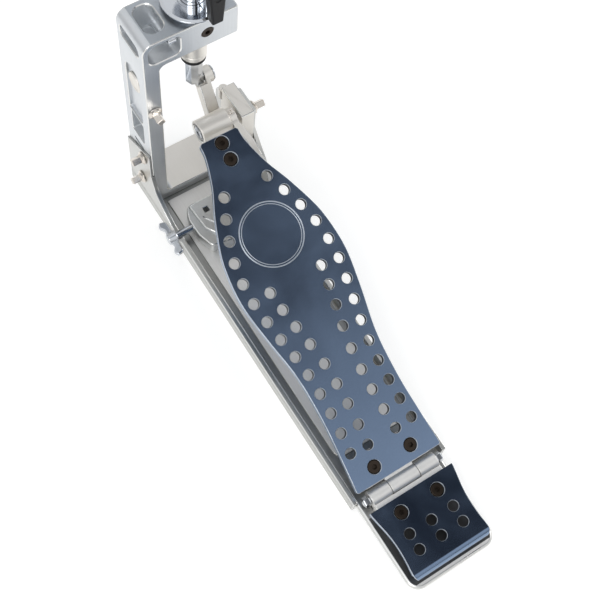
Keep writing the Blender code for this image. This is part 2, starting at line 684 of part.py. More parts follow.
def build_heel(pedal):
    """The sloping heel plate, the hinge and its pin."""
    slope = empty("heel_slope", (0, 0, HEEL_PLATE_TOP), turned_about("X", HEEL_SLOPE), pedal)
    thick, front, back = HEEL_PLATE_THICK, HEEL_PLATE_FRONT, HEEL_PLATE_BACK
    far = back - HEEL_LIP
    profile = rounded(((front, -thick, 0), (front, 0, 0), (far, 0, HEEL_LIP), (far, -HEEL_LIP_DROP, 0),
                       (far + thick, -HEEL_LIP_DROP, 0), (far + thick, -thick, HEEL_LIP - thick)), 5)
    plate = make("heel_plate", [prism(profile, -HEEL_HALF_WIDTH, HEEL_HALF_WIDTH, "x")], BLUE, slope)
    for side in (-1, 1):
        waist = [(front + 2, HEEL_HALF_WIDTH + 1), (front, HEEL_HALF_WIDTH + 0.1)]
        waist += [(front + (far - front) * run, HEEL_HALF_WIDTH * share) for run, share in HEEL_WAIST]
        outer = [(side * x, y) for y, x in waist]
        outer += [(side * 50, far - 1), (side * 50, front + 2)]
        cut(plate, prism(outer, -HEEL_LIP_DROP - 5, 5))
    holes = [turned(((BOARD_HOLE / 2, -12), (BOARD_HOLE / 2, 2)), "z", (x, y, 0), SMALL_SIDES)
             for x in (-HEEL_HOLE_STEP, 0, HEEL_HOLE_STEP) for y in HEEL_HOLE_ROWS]
    screw_y = HEEL_SCREW_Y
    holes += [countersink("z", (x, screw_y, 0)) for x in (-HEEL_SCREW_X, HEEL_SCREW_X)]
    cut_together(plate, holes)
    for name, x in (("left", -HEEL_SCREW_X), ("right", HEEL_SCREW_X)):
        make(f"heel_plate_screw_{name}", [countersunk("z", (x, screw_y, -0.1))], BLACK_STEEL, slope)

    long, knuckle = HINGE_HALF_LENGTH, KNUCKLE_HALF
    tilt = math.tan(math.radians(HEEL_SLOPE))
    under = HEEL_PLATE_TOP - (thick + GAP) / math.cos(math.radians(HEEL_SLOPE))
    low = BASE_TOP + GAP
    block = ((-36, low), (-7.0, low), (-7.0, under - 7.0 * tilt), (-36, under - 36 * tilt))
    leaf = make("heel_leaf", [prism(block, -long, long, "x")], STEEL, pedal)
    web = ((-8, low + 2), (-2, low + 4.5), (-2, 2.0), (-8, 2.6))
    for side in (-1, 1):
        ends = sorted((side * long, side * (knuckle + GAP)))
        fuse(leaf, prism(web, *ends, "x"), turned(((HINGE_RADIUS, ends[0]), (HINGE_RADIUS, ends[1])), "x"))
    cut(leaf, turned(((HINGE_RADIUS + 0.6, -knuckle - GAP), (HINGE_RADIUS + 0.6, knuckle + GAP)), "x"))
    cut(leaf, turned(((PIN_RADIUS + GAP, -long - 1), (PIN_RADIUS + GAP, long + 1)), "x", sides=SMALL_SIDES))
    holes = []
    for x in (-HEEL_SCREW_X, HEEL_SCREW_X):
        y, z = screw_y * math.cos(math.radians(HEEL_SLOPE)), HEEL_PLATE_TOP + screw_y * tilt
        room = SCREW_RADIUS + GAP + SCREW_LENGTH * tilt
        holes.append(turned(((room, -SCREW_LENGTH - 1.5), (room, 0)), "z", (x, y, z), SMALL_SIDES))
    cut_together(leaf, holes)
    reach = long + GAP
    pin = ((PIN_HEAD_RADIUS - 1.5, -reach - 6.5), (PIN_HEAD_RADIUS, -reach - 5), (PIN_HEAD_RADIUS, -reach),
           (PIN_RADIUS, -reach), (PIN_RADIUS, reach), (PIN_HEAD_RADIUS, reach), (PIN_HEAD_RADIUS, reach + 5),
           (PIN_HEAD_RADIUS - 1.5, reach + 6.5))
    make("hinge_pin", [turned(pin, "x", sides=SMALL_SIDES)], CHROME, pedal)


def build_footboard(board):
    """The footboard and what is fixed to it, drawn square and tilted by their parent."""
    plate = make("footboard", [prism(board_outline(), BOARD_LOW, BOARD_TOP)], BLUE, board)
    holes = []
    for x, y in board_holes():
        for side in (-1, 1):
            holes.append(turned(((BOARD_HOLE / 2, BOARD_LOW - 1), (BOARD_HOLE / 2, BOARD_TOP + 1)), "z",
                                (side * x, y, 0), SMALL_SIDES))
    heel_y = BOARD_HEEL + HEEL_SCREW_INSET
    holes += [countersink("z", (x, heel_y, BOARD_TOP)) for x in (-HEEL_SCREW_X, HEEL_SCREW_X)]
    holes += [countersink("z", (0, y, BOARD_TOP)) for y in TOE_SCREWS]
    cut_together(plate, holes)
    spots = (("footboard_screw_left", -HEEL_SCREW_X, heel_y), ("footboard_screw_right", HEEL_SCREW_X, heel_y),
             ("toe_screw_back", 0, TOE_SCREWS[0]), ("toe_screw_front", 0, TOE_SCREWS[1]))
    for name, x, y in spots:
        make(name, [countersunk("z", (x, y, BOARD_TOP - 0.1))], BLACK_STEEL, board)

    top = BOARD_LOW - GAP
    start = HINGE_RADIUS + 1.4
    long = HINGE_HALF_LENGTH
    leaf = make("footboard_leaf", [box(-long, long, start, heel_y + 14, top - 4, top)], STEEL, board)
    knuckle = KNUCKLE_HALF - GAP / 2
    fuse(leaf, box(-knuckle, knuckle, 3, start + 1, top - 4, top))
    fuse(leaf, turned(((HINGE_RADIUS, -knuckle), (HINGE_RADIUS, knuckle)), "x"))
    room = PIN_RADIUS + GAP
    cut(leaf, turned(((room, -knuckle - 1), (room, knuckle + 1)), "x", sides=SMALL_SIDES))
    room = SCREW_RADIUS + GAP
    cut_together(leaf, [turned(((room, top - 5), (room, top + 1)), "z", (x, heel_y, 0), SMALL_SIDES)
                        for x in (-HEEL_SCREW_X, HEEL_SCREW_X)])


def shaft_in_board():
    """The toe shaft's axis in the footboard's frame, as distance and height."""
    pitch = math.radians(BOARD_PITCH)
    return (SHAFT_Y * math.cos(pitch) + SHAFT_Z * math.sin(pitch),
            SHAFT_Z * math.cos(pitch) - SHAFT_Y * math.sin(pitch))


def build_toe(board):
    """The bracket under the toe and the shaft that it holds."""
    along, up = shaft_in_board()
    top = BOARD_LOW - GAP
    ear_left, ear_right = BARREL_RIGHT_X + 0.5, BARREL_RIGHT_X + 7.0
    eye = SHAFT_RADIUS + 5.0
    limit = along - BARREL_RADIUS - 1.2
    foot = ((-15, limit - 44), (ear_right, limit - 44), (ear_right, limit - 30), (15, limit - 30),
            (15, limit), (-15, limit))
    bracket = make("toe_bracket", [prism(foot, top - 6, top)], ALUMINIUM, board)
    arm = ((limit - 44, top - 6), (limit - 20, top - 8), (along - 4, up - eye + 1), (along + 2, up + eye - 2),
           (along - 9, up + eye - 1), (limit - 16, top - 0.5), (limit - 44, top))
    fuse(bracket, prism(arm, ear_left, ear_right, "x"))
    fuse(bracket, turned(((eye, ear_left), (eye, ear_right)), "x", (0, along, up)))
    room = SHAFT_RADIUS + GAP
    cut(bracket, turned(((room, ear_left - 1), (room, ear_right + 1)), "x", (0, along, up), SMALL_SIDES))
    screw_room = SCREW_RADIUS + GAP
    holes = [turned(((screw_room, top - 7), (screw_room, top + 1)), "z", (0, y, 0), SMALL_SIDES)
             for y in TOE_SCREWS]
    cut_together(bracket, holes)
    rings = [circle(2.2, BARREL_LEFT_X + 2.0, SMALL_SIDES), circle(2.2, BARREL_LEFT_X - 0.5, SMALL_SIDES)]
    for radius, x in ((5.4, BARREL_LEFT_X - 0.5), (5.4, BARREL_LEFT_X + 1.2),
                      (SHAFT_RADIUS, BARREL_LEFT_X + 1.2), (SHAFT_RADIUS, ear_right - 0.3)):
        rings.append(circle(radius, x, SMALL_SIDES))
    make("toe_shaft", [loft(rings, "x", (0, along, up))], STEEL, board)


def build_link(link):
    """The drive link, in a frame on the toe shaft: a barrel, a square bar behind it and its eye."""
    rise, reach = COUPLER_PIN_HEIGHT - SHAFT_Z, TUBE_Y - SHAFT_Y
    lean = math.radians(LINK_LEAN)
    along, across = (math.cos(lean), math.sin(lean)), (-math.sin(lean), math.cos(lean))

    def place(run, offset):
        """A point from the eye's centre: the run goes up the bar, the offset towards its front face."""
        return (reach + along[0] * run + across[0] * offset, rise + along[1] * run + across[1] * offset)

    shaft_run = -(reach * along[0] + rise * along[1])
    shaft_offset = -(reach * across[0] + rise * across[1])
    front, back = KNUCKLE_RADIUS, KNUCKLE_RADIUS - LINK_THICK
    foot = shaft_run - LINK_THICK / 2
    barrel = turned(((BARREL_RADIUS, BARREL_LEFT_X), (BARREL_RADIUS, BARREL_RIGHT_X)), "x", sides=20)
    piece = make("drive_link", [barrel], ALUMINIUM, link)
    relief = []
    for degrees in (126, 145, 162, 180, 202, 214.5):
        angle = math.radians(degrees)
        relief.append(place(TONGUE_ROOM * math.cos(angle), TONGUE_ROOM * math.sin(angle)))
    bar = [place(foot, back), place(foot, front), place(TONGUE_ROOM * math.cos(math.radians(126)), front)]
    step = 0.1
    arm = [place(foot + step, back + step), place(foot + step, front - step), place(0, front - step),
           place(0, back + step)]
    low, high = foot + 4 * step, foot + LINK_THICK
    web = [place(low, front - 1), place(low, shaft_offset), place(high, shaft_offset), place(high, front - 1)]
    fuse(piece, prism(bar + relief, LINK_LEFT_X, KNUCKLE_LEFT_X + 0.2, "x"))
    fuse(piece, prism(arm, KNUCKLE_LEFT_X, LINK_RIGHT_X, "x"))
    fuse(piece, prism(web, LINK_LEFT_X + step, LINK_RIGHT_X - 1, "x"))
    fuse(piece, turned(((KNUCKLE_RADIUS, KNUCKLE_LEFT_X), (KNUCKLE_RADIUS, KNUCKLE_RIGHT_X)), "x",
                       (0, reach, rise)))
    bore = COUPLER_PIN_RADIUS + OPEN_PIVOT_CLEARANCE
    cut(piece, turned(((bore, KNUCKLE_LEFT_X - 1), (bore, KNUCKLE_RIGHT_X + 1)), "x", (0, reach, rise),
                      SMALL_SIDES))
    room = BEARING_RADIUS + GAP
    cut(piece, turned(((room, BARREL_LEFT_X - 1), (room, BARREL_RIGHT_X + 1)), "x"))
    make("link_bearing", [pipe(BEARING_RADIUS, SHAFT_RADIUS + GAP, BARREL_LEFT_X + 1.6, BARREL_RIGHT_X - 0.4,
                               "x")], CHROME, link)


def build_rod(pedal):
    """The coupler, its cross pin, the rod with its spring collar, the bumper, the bush and the spring."""
    axis = (TUBE_X, TUBE_Y, 0)
    blind = COUPLER_HIGH - 7.0
    sleeve = turned(((COUPLER_RADIUS, COUPLER_LOW), (COUPLER_RADIUS, COUPLER_HIGH)), "z", axis, 8)
    coupler = make("rod_coupler", [sleeve], CHROME, pedal)
    tongue = box(TUBE_X + TONGUE_LEFT, TUBE_X + TONGUE_RIGHT, TUBE_Y - TONGUE_HALF, TUBE_Y + TONGUE_HALF,
                 COUPLER_PIN_HEIGHT - TONGUE_BELOW_PIN, COUPLER_LOW + 4)
    fuse(coupler, tongue)
    pin_room = COUPLER_PIN_RADIUS + GAP
    rod_room = ROD_RADIUS + GAP
    cut(coupler, turned(((rod_room, blind), (rod_room, COUPLER_HIGH + 1)), "z", axis, SMALL_SIDES))
    cut(coupler, turned(((pin_room, -20), (pin_room, 20)), "x", (TUBE_X, TUBE_Y, COUPLER_PIN_HEIGHT),
                        SMALL_SIDES))
    pin_low, pin_high = TUBE_X + TONGUE_LEFT + 0.5, KNUCKLE_RIGHT_X + 0.6
    pin = ((COUPLER_PIN_RADIUS, pin_low), (COUPLER_PIN_RADIUS, pin_high),
           (COUPLER_PIN_HEAD, pin_high), (COUPLER_PIN_HEAD, pin_high + 1.6))
    make("coupler_pin", [turned(pin, "x", (0, TUBE_Y, COUPLER_PIN_HEIGHT), SMALL_SIDES)], CHROME, pedal)
    make("rubber_bumper", [pipe(BUSH_RADIUS - 0.5, rod_room, COUPLER_HIGH + GAP,
                                COUPLER_HIGH + GAP + BUMPER_THICK, "z", axis)], RUBBER, pedal)
    bush = ((BUSH_RADIUS, BUSH_LOW), (BUSH_RADIUS, FRAME_TOP - GAP), (TUBE_RADIUS + GAP, FRAME_TOP - GAP),
            (TUBE_RADIUS + GAP, TUBE_SEAT), (ROD_RADIUS + 0.4, TUBE_SEAT), (ROD_RADIUS + 0.4, BUSH_LOW))
    make("guide_bush", [turned(bush, "z", axis, looped=True)], ALUMINIUM, pedal)
    step = FRAME_TOP + GAP + FLANGE_FOOT
    flange = ((FLANGE_FOOT_RADIUS, FRAME_TOP + GAP), (FLANGE_FOOT_RADIUS, step), (FLANGE_RADIUS, step),
              (FLANGE_RADIUS, FLANGE_TOP - 1.2),
              (FLANGE_RADIUS - 2, FLANGE_TOP), (TUBE_RADIUS + GAP, FLANGE_TOP),
              (TUBE_RADIUS + GAP, FRAME_TOP + GAP))
    make("tube_flange", [turned(flange, "z", axis, 24, looped=True)], CHROME, pedal)

    collar = SPRING_SEAT + SPRING_LENGTH
    rod = ((ROD_RADIUS, blind + GAP + HINGE_HEIGHT), (ROD_RADIUS, collar), (ROD_COLLAR_RADIUS, collar),
           (ROD_COLLAR_RADIUS, collar + ROD_COLLAR_THICK), (ROD_RADIUS, collar + ROD_COLLAR_THICK),
           (ROD_RADIUS, ROD_TOP - 1), (ROD_RADIUS - 1, ROD_TOP))
    make("pull_rod", [turned(rod, sides=SMALL_SIDES)], CHROME)
    build_spring(SPRING_SEAT + GAP + SPRING_WIRE, collar - GAP - SPRING_WIRE)


def build_spring(low, high):
    """One unbroken wire wound at an even pitch round the rod."""
    steps = 9
    total = SPRING_CURLS * steps
    wire = bpy.data.curves.new("return_spring", "CURVE")
    wire.dimensions = "3D"
    wire.bevel_depth = SPRING_WIRE * MM
    wire.bevel_resolution = 1
    wire.use_fill_caps = True
    spline = wire.splines.new("POLY")
    spline.points.add(total)
    for index in range(total + 1):
        angle = 2 * math.pi * index / steps
        height = low + (high - low) * index / total
        spline.points[index].co = (SPRING_RADIUS * math.cos(angle) * MM, SPRING_RADIUS * math.sin(angle) * MM,
                                   height * MM, 1.0)
    pitch = (high - low) / SPRING_CURLS
    print(f"return_spring least gap between curls {pitch - 2 * SPRING_WIRE:.2f} mm")
    spring = bpy.data.objects.new("return_spring", wire)
    bpy.context.collection.objects.link(spring)
    wire.materials.append(STEEL)


def build_tube():
    """The lower tube and the lever clamp round its foot."""
    make("lower_tube", [pipe(TUBE_RADIUS, BORE, TUBE_SEAT + GAP + HINGE_HEIGHT, TUBE_TOP)], CHROME)
    seat = LEVER_SEAT
    outer, low, high = TUBE_RADIUS + CLAMP_WALL, LEVER_HEIGHT - 10, LEVER_HEIGHT + 9
    ring = make("tube_collar", [turned(((outer, low), (outer, high)))], CHROME)
    fuse(ring, box(LEVER_X - 3, LEVER_X + 7, -outer - 5, -TUBE_RADIUS + 0.5, seat, high))
    cut(ring, turned(((TUBE_RADIUS + GAP, seat - 1), (TUBE_RADIUS + GAP, LEVER_HEIGHT + 12))))
    cut(ring, thread_hole(-outer - 6, -8, (LEVER_X, 0, LEVER_HEIGHT)))
    pivot = empty("lever_axis", (LEVER_X, LEVER_Y, LEVER_HEIGHT))
    blade = rounded(((-4.8, seat - LEVER_HEIGHT, 0), (4.8, seat - LEVER_HEIGHT, 0), (7.5, 5, 3), (4, 9, 3),
                     (-4, 9, 3), (-7.5, 5, 3)), 2)
    lever = make("clamp_lever", [prism(blade, -LEVER_THICK / 2, LEVER_THICK / 2, "y")], BLACK_PLASTIC, pivot)
    fuse(lever, turned(((2.5, 3), (2.5, 18.5)), "y", sides=SMALL_SIDES))


def build_side_clamp(pedal):
    """The wing screw over the left rail and the cast block at its inner end."""
    axis = empty("wing_axis", (-RAIL_OUTER - 1.0, WING_Y, WING_Z), None, pedal)
    spindle = RAIL_OUTER + 1.0 + BLOCK_LEFT_X + 7.0
    wing_bolt("wing_screw", CHROME, axis, "x", -1, WING_SHANK_RADIUS, spindle, WING_SPAN, hub=9.0)
    low = BASE_TOP + RIDGE_HEIGHT + GAP
    outline = rounded(((BLOCK_LEFT_X + 5, BLOCK_BACK_Y + 6, 5), (BLOCK_RIGHT_X, BLOCK_BACK_Y, 4),
                       (BLOCK_RIGHT_X, BLOCK_FRONT_Y, 4), (BLOCK_LEFT_X + 4, BLOCK_FRONT_Y, 9),
                       (BLOCK_LEFT_X, BLOCK_FRONT_Y - 14, 6), (BLOCK_LEFT_X, BLOCK_BACK_Y + 22, 4)), 3)
    block = make("clamp_block", [prism(outline, low, BLOCK_TOP - 4)], CAST, pedal)
    crown = ((BLOCK_LEFT_X + 13, BLOCK_FRONT_Y - 2), (BLOCK_LEFT_X + 6, BLOCK_FRONT_Y - 3),
             (BLOCK_LEFT_X + 8, WING_Y - 10), (BLOCK_LEFT_X + 14, BLOCK_BACK_Y + 14),
             (BLOCK_RIGHT_X - 2, BLOCK_BACK_Y + 12), (BLOCK_RIGHT_X - 2, BLOCK_FRONT_Y - 2))
    fuse(block, prism(crown, BLOCK_TOP - 5, BLOCK_TOP))
    room = WING_SHANK_RADIUS + GAP
    cut(block, turned(((room, BLOCK_LEFT_X - 3), (room, BLOCK_LEFT_X + 8)), "x", (0, WING_Y, WING_Z),
                      SMALL_SIDES))
    cut(block, box(BLOCK_LEFT_X + 16, BLOCK_LEFT_X + 21, WING_Y + 4, WING_Y + 9, 0, BLOCK_TOP + 1))


def about_z(shape, degrees):
    """The same shape, turned about the column's axis."""
    points, faces = shape
    angle = math.radians(degrees)
    cos, sin = math.cos(angle), math.sin(angle)
    return [(x * cos - y * sin, x * sin + y * cos, z) for x, y, z in points], faces


def leg_bearings():
    """The direction of each leg's plane, as an angle from +X."""
    return [90.0 - side * LEG_AZIMUTH for side in (-1, 1)]


def lugged_collar(name, low, pin_height, lugs):
    """A collar on the lower tube. Its lugs hold a riveted cross pin for each leg or brace."""
    high = low + COLLAR_HEIGHT
    ring = make(name, [turned(((COLLAR_RADIUS, low), (COLLAR_RADIUS, high)))], ALUMINIUM)
    eye = 7.0
    lug = rounded(((TUBE_RADIUS + 2, low + 1, 0), (LEG_PIN_REACH + eye, pin_height - eye, eye - 1),
                   (LEG_PIN_REACH + eye, pin_height + eye, eye - 1), (TUBE_RADIUS + 2, high - 1, 0)), 3)
    for bearing in leg_bearings():
        for inner, outer in lugs:
            fuse(ring, about_z(prism(lug, inner, outer, "y"), bearing))
    cut(ring, turned(((TUBE_RADIUS + GAP, low - 5), (TUBE_RADIUS + GAP, high + 5))))
    reach = max(abs(lugs[0][0]), abs(lugs[0][1]), LEG_OUTER if len(lugs) == 1 else 0) + 1.2
    for bearing in leg_bearings():
        cross = turned(((LEG_PIN_RADIUS, -reach), (LEG_PIN_RADIUS, reach)), "y",
                       (LEG_PIN_REACH, 0, pin_height), SMALL_SIDES)
        fuse(ring, about_z(cross, bearing))
    return ring


def build_leg(name, bearing):
    """One leg, its brace and its rubber foot, drawn in the leg's own plane."""
    plane = empty(f"leg_plane_{name}", turn=turned_about("Z", bearing))
    leg_pin, brace_pin = (LEG_PIN_REACH, 0, LEG_PIN_HEIGHT), (LEG_PIN_REACH, 0, BRACE_PIN_HEIGHT)
    leg_axis = empty(f"leg_axis_{name}", leg_pin, turned_about("Y", -LEG_ANGLE), plane)
    brace_axis = empty(f"brace_axis_{name}", brace_pin, turned_about("Y", LEG_ANGLE), plane)
    hole = LEG_PIN_RADIUS + GAP
    leg = make(f"leg_{name}", [prism(stadium(STRAP_WIDTH, -LEG_LENGTH, 0), -LEG_OUTER, LEG_OUTER, "y")],
               ALUMINIUM, leg_axis)
    back = STRAP_WIDTH / 2 - STRAP_THICK
    room = [(-40, -LEG_LENGTH - 20), (back, -LEG_LENGTH - 20), (back, -BRACE_LENGTH - 26),
            (40, -BRACE_LENGTH - 14), (40, 20), (-40, 20)]
    cut(leg, prism(room, -LEG_INNER, LEG_INNER, "y"))
    cut(leg, turned(((hole, -LEG_OUTER - 1), (hole, LEG_OUTER + 1)), "y", sides=SMALL_SIDES))
    fuse(leg, turned(((LEG_PIN_RADIUS, -LEG_OUTER - 1), (LEG_PIN_RADIUS, LEG_OUTER + 1)), "y",
                     (0, 0, -BRACE_LENGTH), SMALL_SIDES))
    brace = make(f"brace_{name}", [prism(stadium(BRACE_WIDTH, 0, BRACE_LENGTH), -LUG_HALF, LUG_HALF, "y")],
                 ALUMINIUM, brace_axis)
    wide = LEG_PIN_RADIUS + PIVOT_CLEARANCE
    cut(brace, turned(((hole, -8), (hole, 8)), "y", sides=SMALL_SIDES))
    cut(brace, turned(((wide, -8), (wide, 8)), "y", (0, 0, BRACE_LENGTH), SMALL_SIDES))

    def floor_at(offset):
        angle = math.radians(LEG_ANGLE)
        return -(LEG_PIN_HEIGHT + offset * math.sin(angle)) / math.cos(angle)

    top = -LEG_LENGTH - STRAP_WIDTH / 2 - 0.6
    block = ((-FOOT_HALF, floor_at(-FOOT_HALF)), (FOOT_HALF, floor_at(FOOT_HALF)), (FOOT_HALF, top),
             (-FOOT_HALF, top))
    foot = make(f"foot_{name}", [prism(block, -FOOT_THICK_HALF, FOOT_THICK_HALF, "y")], RUBBER, leg_axis)
    tongue_right = STRAP_WIDTH / 2 - STRAP_THICK - GAP
    tongue = ((-8, top - 2), (tongue_right, top - 2), (tongue_right, FOOT_GRIP - LEG_LENGTH),
              (-8, FOOT_GRIP - LEG_LENGTH))
    fuse(foot, prism(tongue, -LEG_INNER + GAP, LEG_INNER - GAP, "y"))


def build_legs():
    """The brace collar clamped to the tube, the sliding leg collar, and both legs."""
    fork = LUG_HALF + GAP
    lugged_collar("brace_collar", BRACE_PIN_HEIGHT + BRACE_COLLAR_RISE, BRACE_PIN_HEIGHT,
                  ((-fork - STRAP_THICK, -fork), (fork, fork + STRAP_THICK)))
    collar_low = LEG_PIN_HEIGHT - COLLAR_HEIGHT / 2
    collar = lugged_collar("leg_collar", collar_low, LEG_PIN_HEIGHT, ((-LUG_HALF, LUG_HALF),))
    boss = COLLAR_RADIUS + 6.0
    fuse(collar, turned(((6.0, -boss), (6.0, -TUBE_RADIUS - 2)), "y", (0, 0, LEG_PIN_HEIGHT), SMALL_SIDES))
    cut(collar, thread_hole(-boss - 1, -TUBE_RADIUS + 2, (0, 0, LEG_PIN_HEIGHT)))
    axis = empty("collar_wing_axis", (0, -boss - GAP, LEG_PIN_HEIGHT))
    wing_bolt("collar_wing", CHROME, axis, "y", -1, WING_THREAD_RADIUS, boss - TUBE_RADIUS - GAP, WING_SPAN)
    for name, bearing in zip(("left", "right"), leg_bearings()):
        build_leg(name, bearing)


def build_upper():
    """The height clamp on the lower tube, the upper tube and the tilting seat on its top."""
    low, high = TUBE_TOP - 18.0, TUBE_TOP - 18.0 + HEIGHT_CLAMP_HEIGHT
    outer, step = TUBE_RADIUS + 5.5, TUBE_TOP + GAP
    profile = ((outer - 1.5, low), (outer, low + 1.5), (outer, high - 1.5), (outer - 1.5, high),
               (UPPER_RADIUS + GAP, high), (UPPER_RADIUS + GAP, step), (TUBE_RADIUS + GAP, step),
               (TUBE_RADIUS + GAP, low))
    clamp = make("height_clamp", [turned(profile, looped=True)], ALUMINIUM)
    bolt = high - 8.0
    fuse(clamp, turned(((6.0, -outer - 6), (6.0, -outer + 2)), "y", (0, 0, bolt), SMALL_SIDES))
    cut(clamp, thread_hole(-outer - 7, -UPPER_RADIUS + 1, (0, 0, bolt)))
    axis = empty("height_wing_axis", (0, -outer - 6 - GAP, bolt))
    spindle = outer + 6 - UPPER_RADIUS - GAP
    wing_bolt("height_wing", CHROME, axis, "y", -1, WING_THREAD_RADIUS, spindle, WING_SPAN)
    make("upper_tube", [pipe(UPPER_RADIUS, UPPER_RADIUS - UPPER_WALL, UPPER_LOW, UPPER_TOP)], CHROME)

    inner = ROD_RADIUS + 3.0
    base_high = UPPER_TOP + 9.0
    room = UPPER_RADIUS + GAP
    profile = ((12.0, UPPER_TOP - 14), (12.0, UPPER_TOP + 2), (14.0, UPPER_TOP + 4), (14.0, base_high),
               (inner, base_high), (inner, UPPER_TOP + GAP), (room, UPPER_TOP + GAP), (room, UPPER_TOP - 14))
    holder = make("seat_holder", [turned(profile, looped=True)], ALUMINIUM)
    ear_y = 2.0 - SEAT_RADIUS
    fuse(holder, box(-5, 5, ear_y - 5, -11, base_high - 6, base_high))
    cut(holder, turned(((2.3, base_high - 8), (2.3, base_high + 1)), "z", (0, ear_y, 0), SMALL_SIDES))
    knob = ((5.5, -14), (6.5, -12.5), (6.5, -7.5), (2.0, -7.0), (2.0, 0.0))
    screw_axis = empty("tilt_screw_axis", (0, ear_y, base_high))
    make("tilt_screw", [turned(knob, sides=SMALL_SIDES)], CHROME, screw_axis)

    hinge_y = SEAT_RADIUS - 9
    tilt = empty("seat_tilt_axis", (0, hinge_y, base_high + GAP))
    place = (0, -hinge_y, 0)
    sleeve_top = SEAT_THICK + FELT_THICK + 2
    cup = ((SEAT_RADIUS - 2, 0), (SEAT_RADIUS, 1.5), (SEAT_RADIUS, SEAT_THICK), (inner + 4, SEAT_THICK),
           (inner + 4, sleeve_top), (inner + 1, sleeve_top), (inner + 1, 0))
    make("seat_cup", [turned(cup, "z", place, looped=True)], BLACK_PLASTIC, tilt)
    low, high, hole = SEAT_THICK + GAP, SEAT_THICK + GAP + FELT_THICK, inner + 4 + GAP
    felt = ((FELT_RADIUS - 1, low), (FELT_RADIUS, low + 1.5), (FELT_RADIUS, high - 1.5),
            (FELT_RADIUS - 1.5, high), (hole, high), (hole, low))
    make("seat_felt", [turned(felt, "z", place, looped=True)], FELT, tilt)


def build_clutch():
    """The clutch on the rod: a sleeve with a clamp head, two felts between nuts, and a wing bolt."""
    low, bore = CLUTCH_BOTTOM, ROD_RADIUS + GAP
    top = low + CLUTCH_LENGTH
    head_low = top - CLUTCH_HEAD
    sleeve = ((CLUTCH_RADIUS, low), (CLUTCH_RADIUS, head_low), (CLUTCH_HEAD_RADIUS, head_low + 1),
              (CLUTCH_HEAD_RADIUS, top - 1), (CLUTCH_HEAD_RADIUS - 1, top), (bore, top), (bore, low))
    body = make("clutch_body", [turned(sleeve, looped=True)], CHROME)
    bolt = head_low + CLUTCH_HEAD / 2
    cut(body, thread_hole(-CLUTCH_HEAD_RADIUS - 2, -bore + 1, (0, 0, bolt)))
    axis = empty("clutch_wing_axis", (0, -CLUTCH_HEAD_RADIUS - GAP, bolt))
    wing_bolt("clutch_wing", CHROME, axis, "y", -1, WING_THREAD_RADIUS, CLUTCH_HEAD_RADIUS - ROD_RADIUS - GAP,
              WING_SPAN - 3)
    room = CLUTCH_RADIUS + GAP
    nut = 6.0
    lower_nut, lower_felt = low + 1.0, low + 1.0 + nut + GAP
    upper_felt = lower_felt + FELT_THICK + CYMBAL_ROOM
    for name, base in (("lower", lower_felt), ("upper", upper_felt)):
        make(f"clutch_{name}_felt", [pipe(FELT_RADIUS - 5, room, base, base + FELT_THICK)], FELT)
    make("clutch_lower_nut", [pipe(CLUTCH_RADIUS + 5, room, lower_nut, lower_nut + nut, sides=SMALL_SIDES)],
         CHROME)


def main():
    pedal = empty("pedal_frame", (-TUBE_X, -TUBE_Y, HINGE_HEIGHT))
    board = empty("footboard_axis", turn=turned_about("X", BOARD_PITCH), parent=pedal)
    link = empty("link_axis", (0, SHAFT_Y, SHAFT_Z), parent=pedal)
    build_base(pedal)
    build_rails(pedal)
    build_frame(pedal)
    build_heel(pedal)
    build_footboard(board)
    build_toe(board)
    build_link(link)
    build_rod(pedal)
    build_tube()
    build_side_clamp(pedal)
    build_legs()
    build_upper()
    build_clutch()


clear_scene()
STEEL = finish("satin_steel", (0.46, 0.47, 0.47), 0.38, 1.0)
ALUMINIUM = finish("satin_aluminium", (0.62, 0.63, 0.62), 0.42, 1.0)
CAST = finish("cast_alloy", (0.5, 0.51, 0.52), 0.45, 1.0)
CHROME = finish("chrome", (0.8, 0.82, 0.84), 0.08, 1.0)
BLACK_STEEL = finish("black_steel", (0.03, 0.025, 0.02), 0.45, 0.6)
BLUE = finish("blue_anodised", (0.05, 0.09, 0.16), 0.35, 0.6)
RUBBER = finish("black_rubber", (0.015, 0.015, 0.015), 0.8, 0.0)
BLACK_PLASTIC = finish("black_plastic", (0.015, 0.015, 0.017), 0.4, 0.0)
FELT = finish("grey_felt", (0.12, 0.12, 0.12), 0.95, 0.0)
main()
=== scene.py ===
"""The looks of a hi-hat stand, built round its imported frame: a blue perforated pedal in satin and chrome.

Sizes are millimetres in the frame that a section names, and each piece is brought to metres at the end.
"""
import math

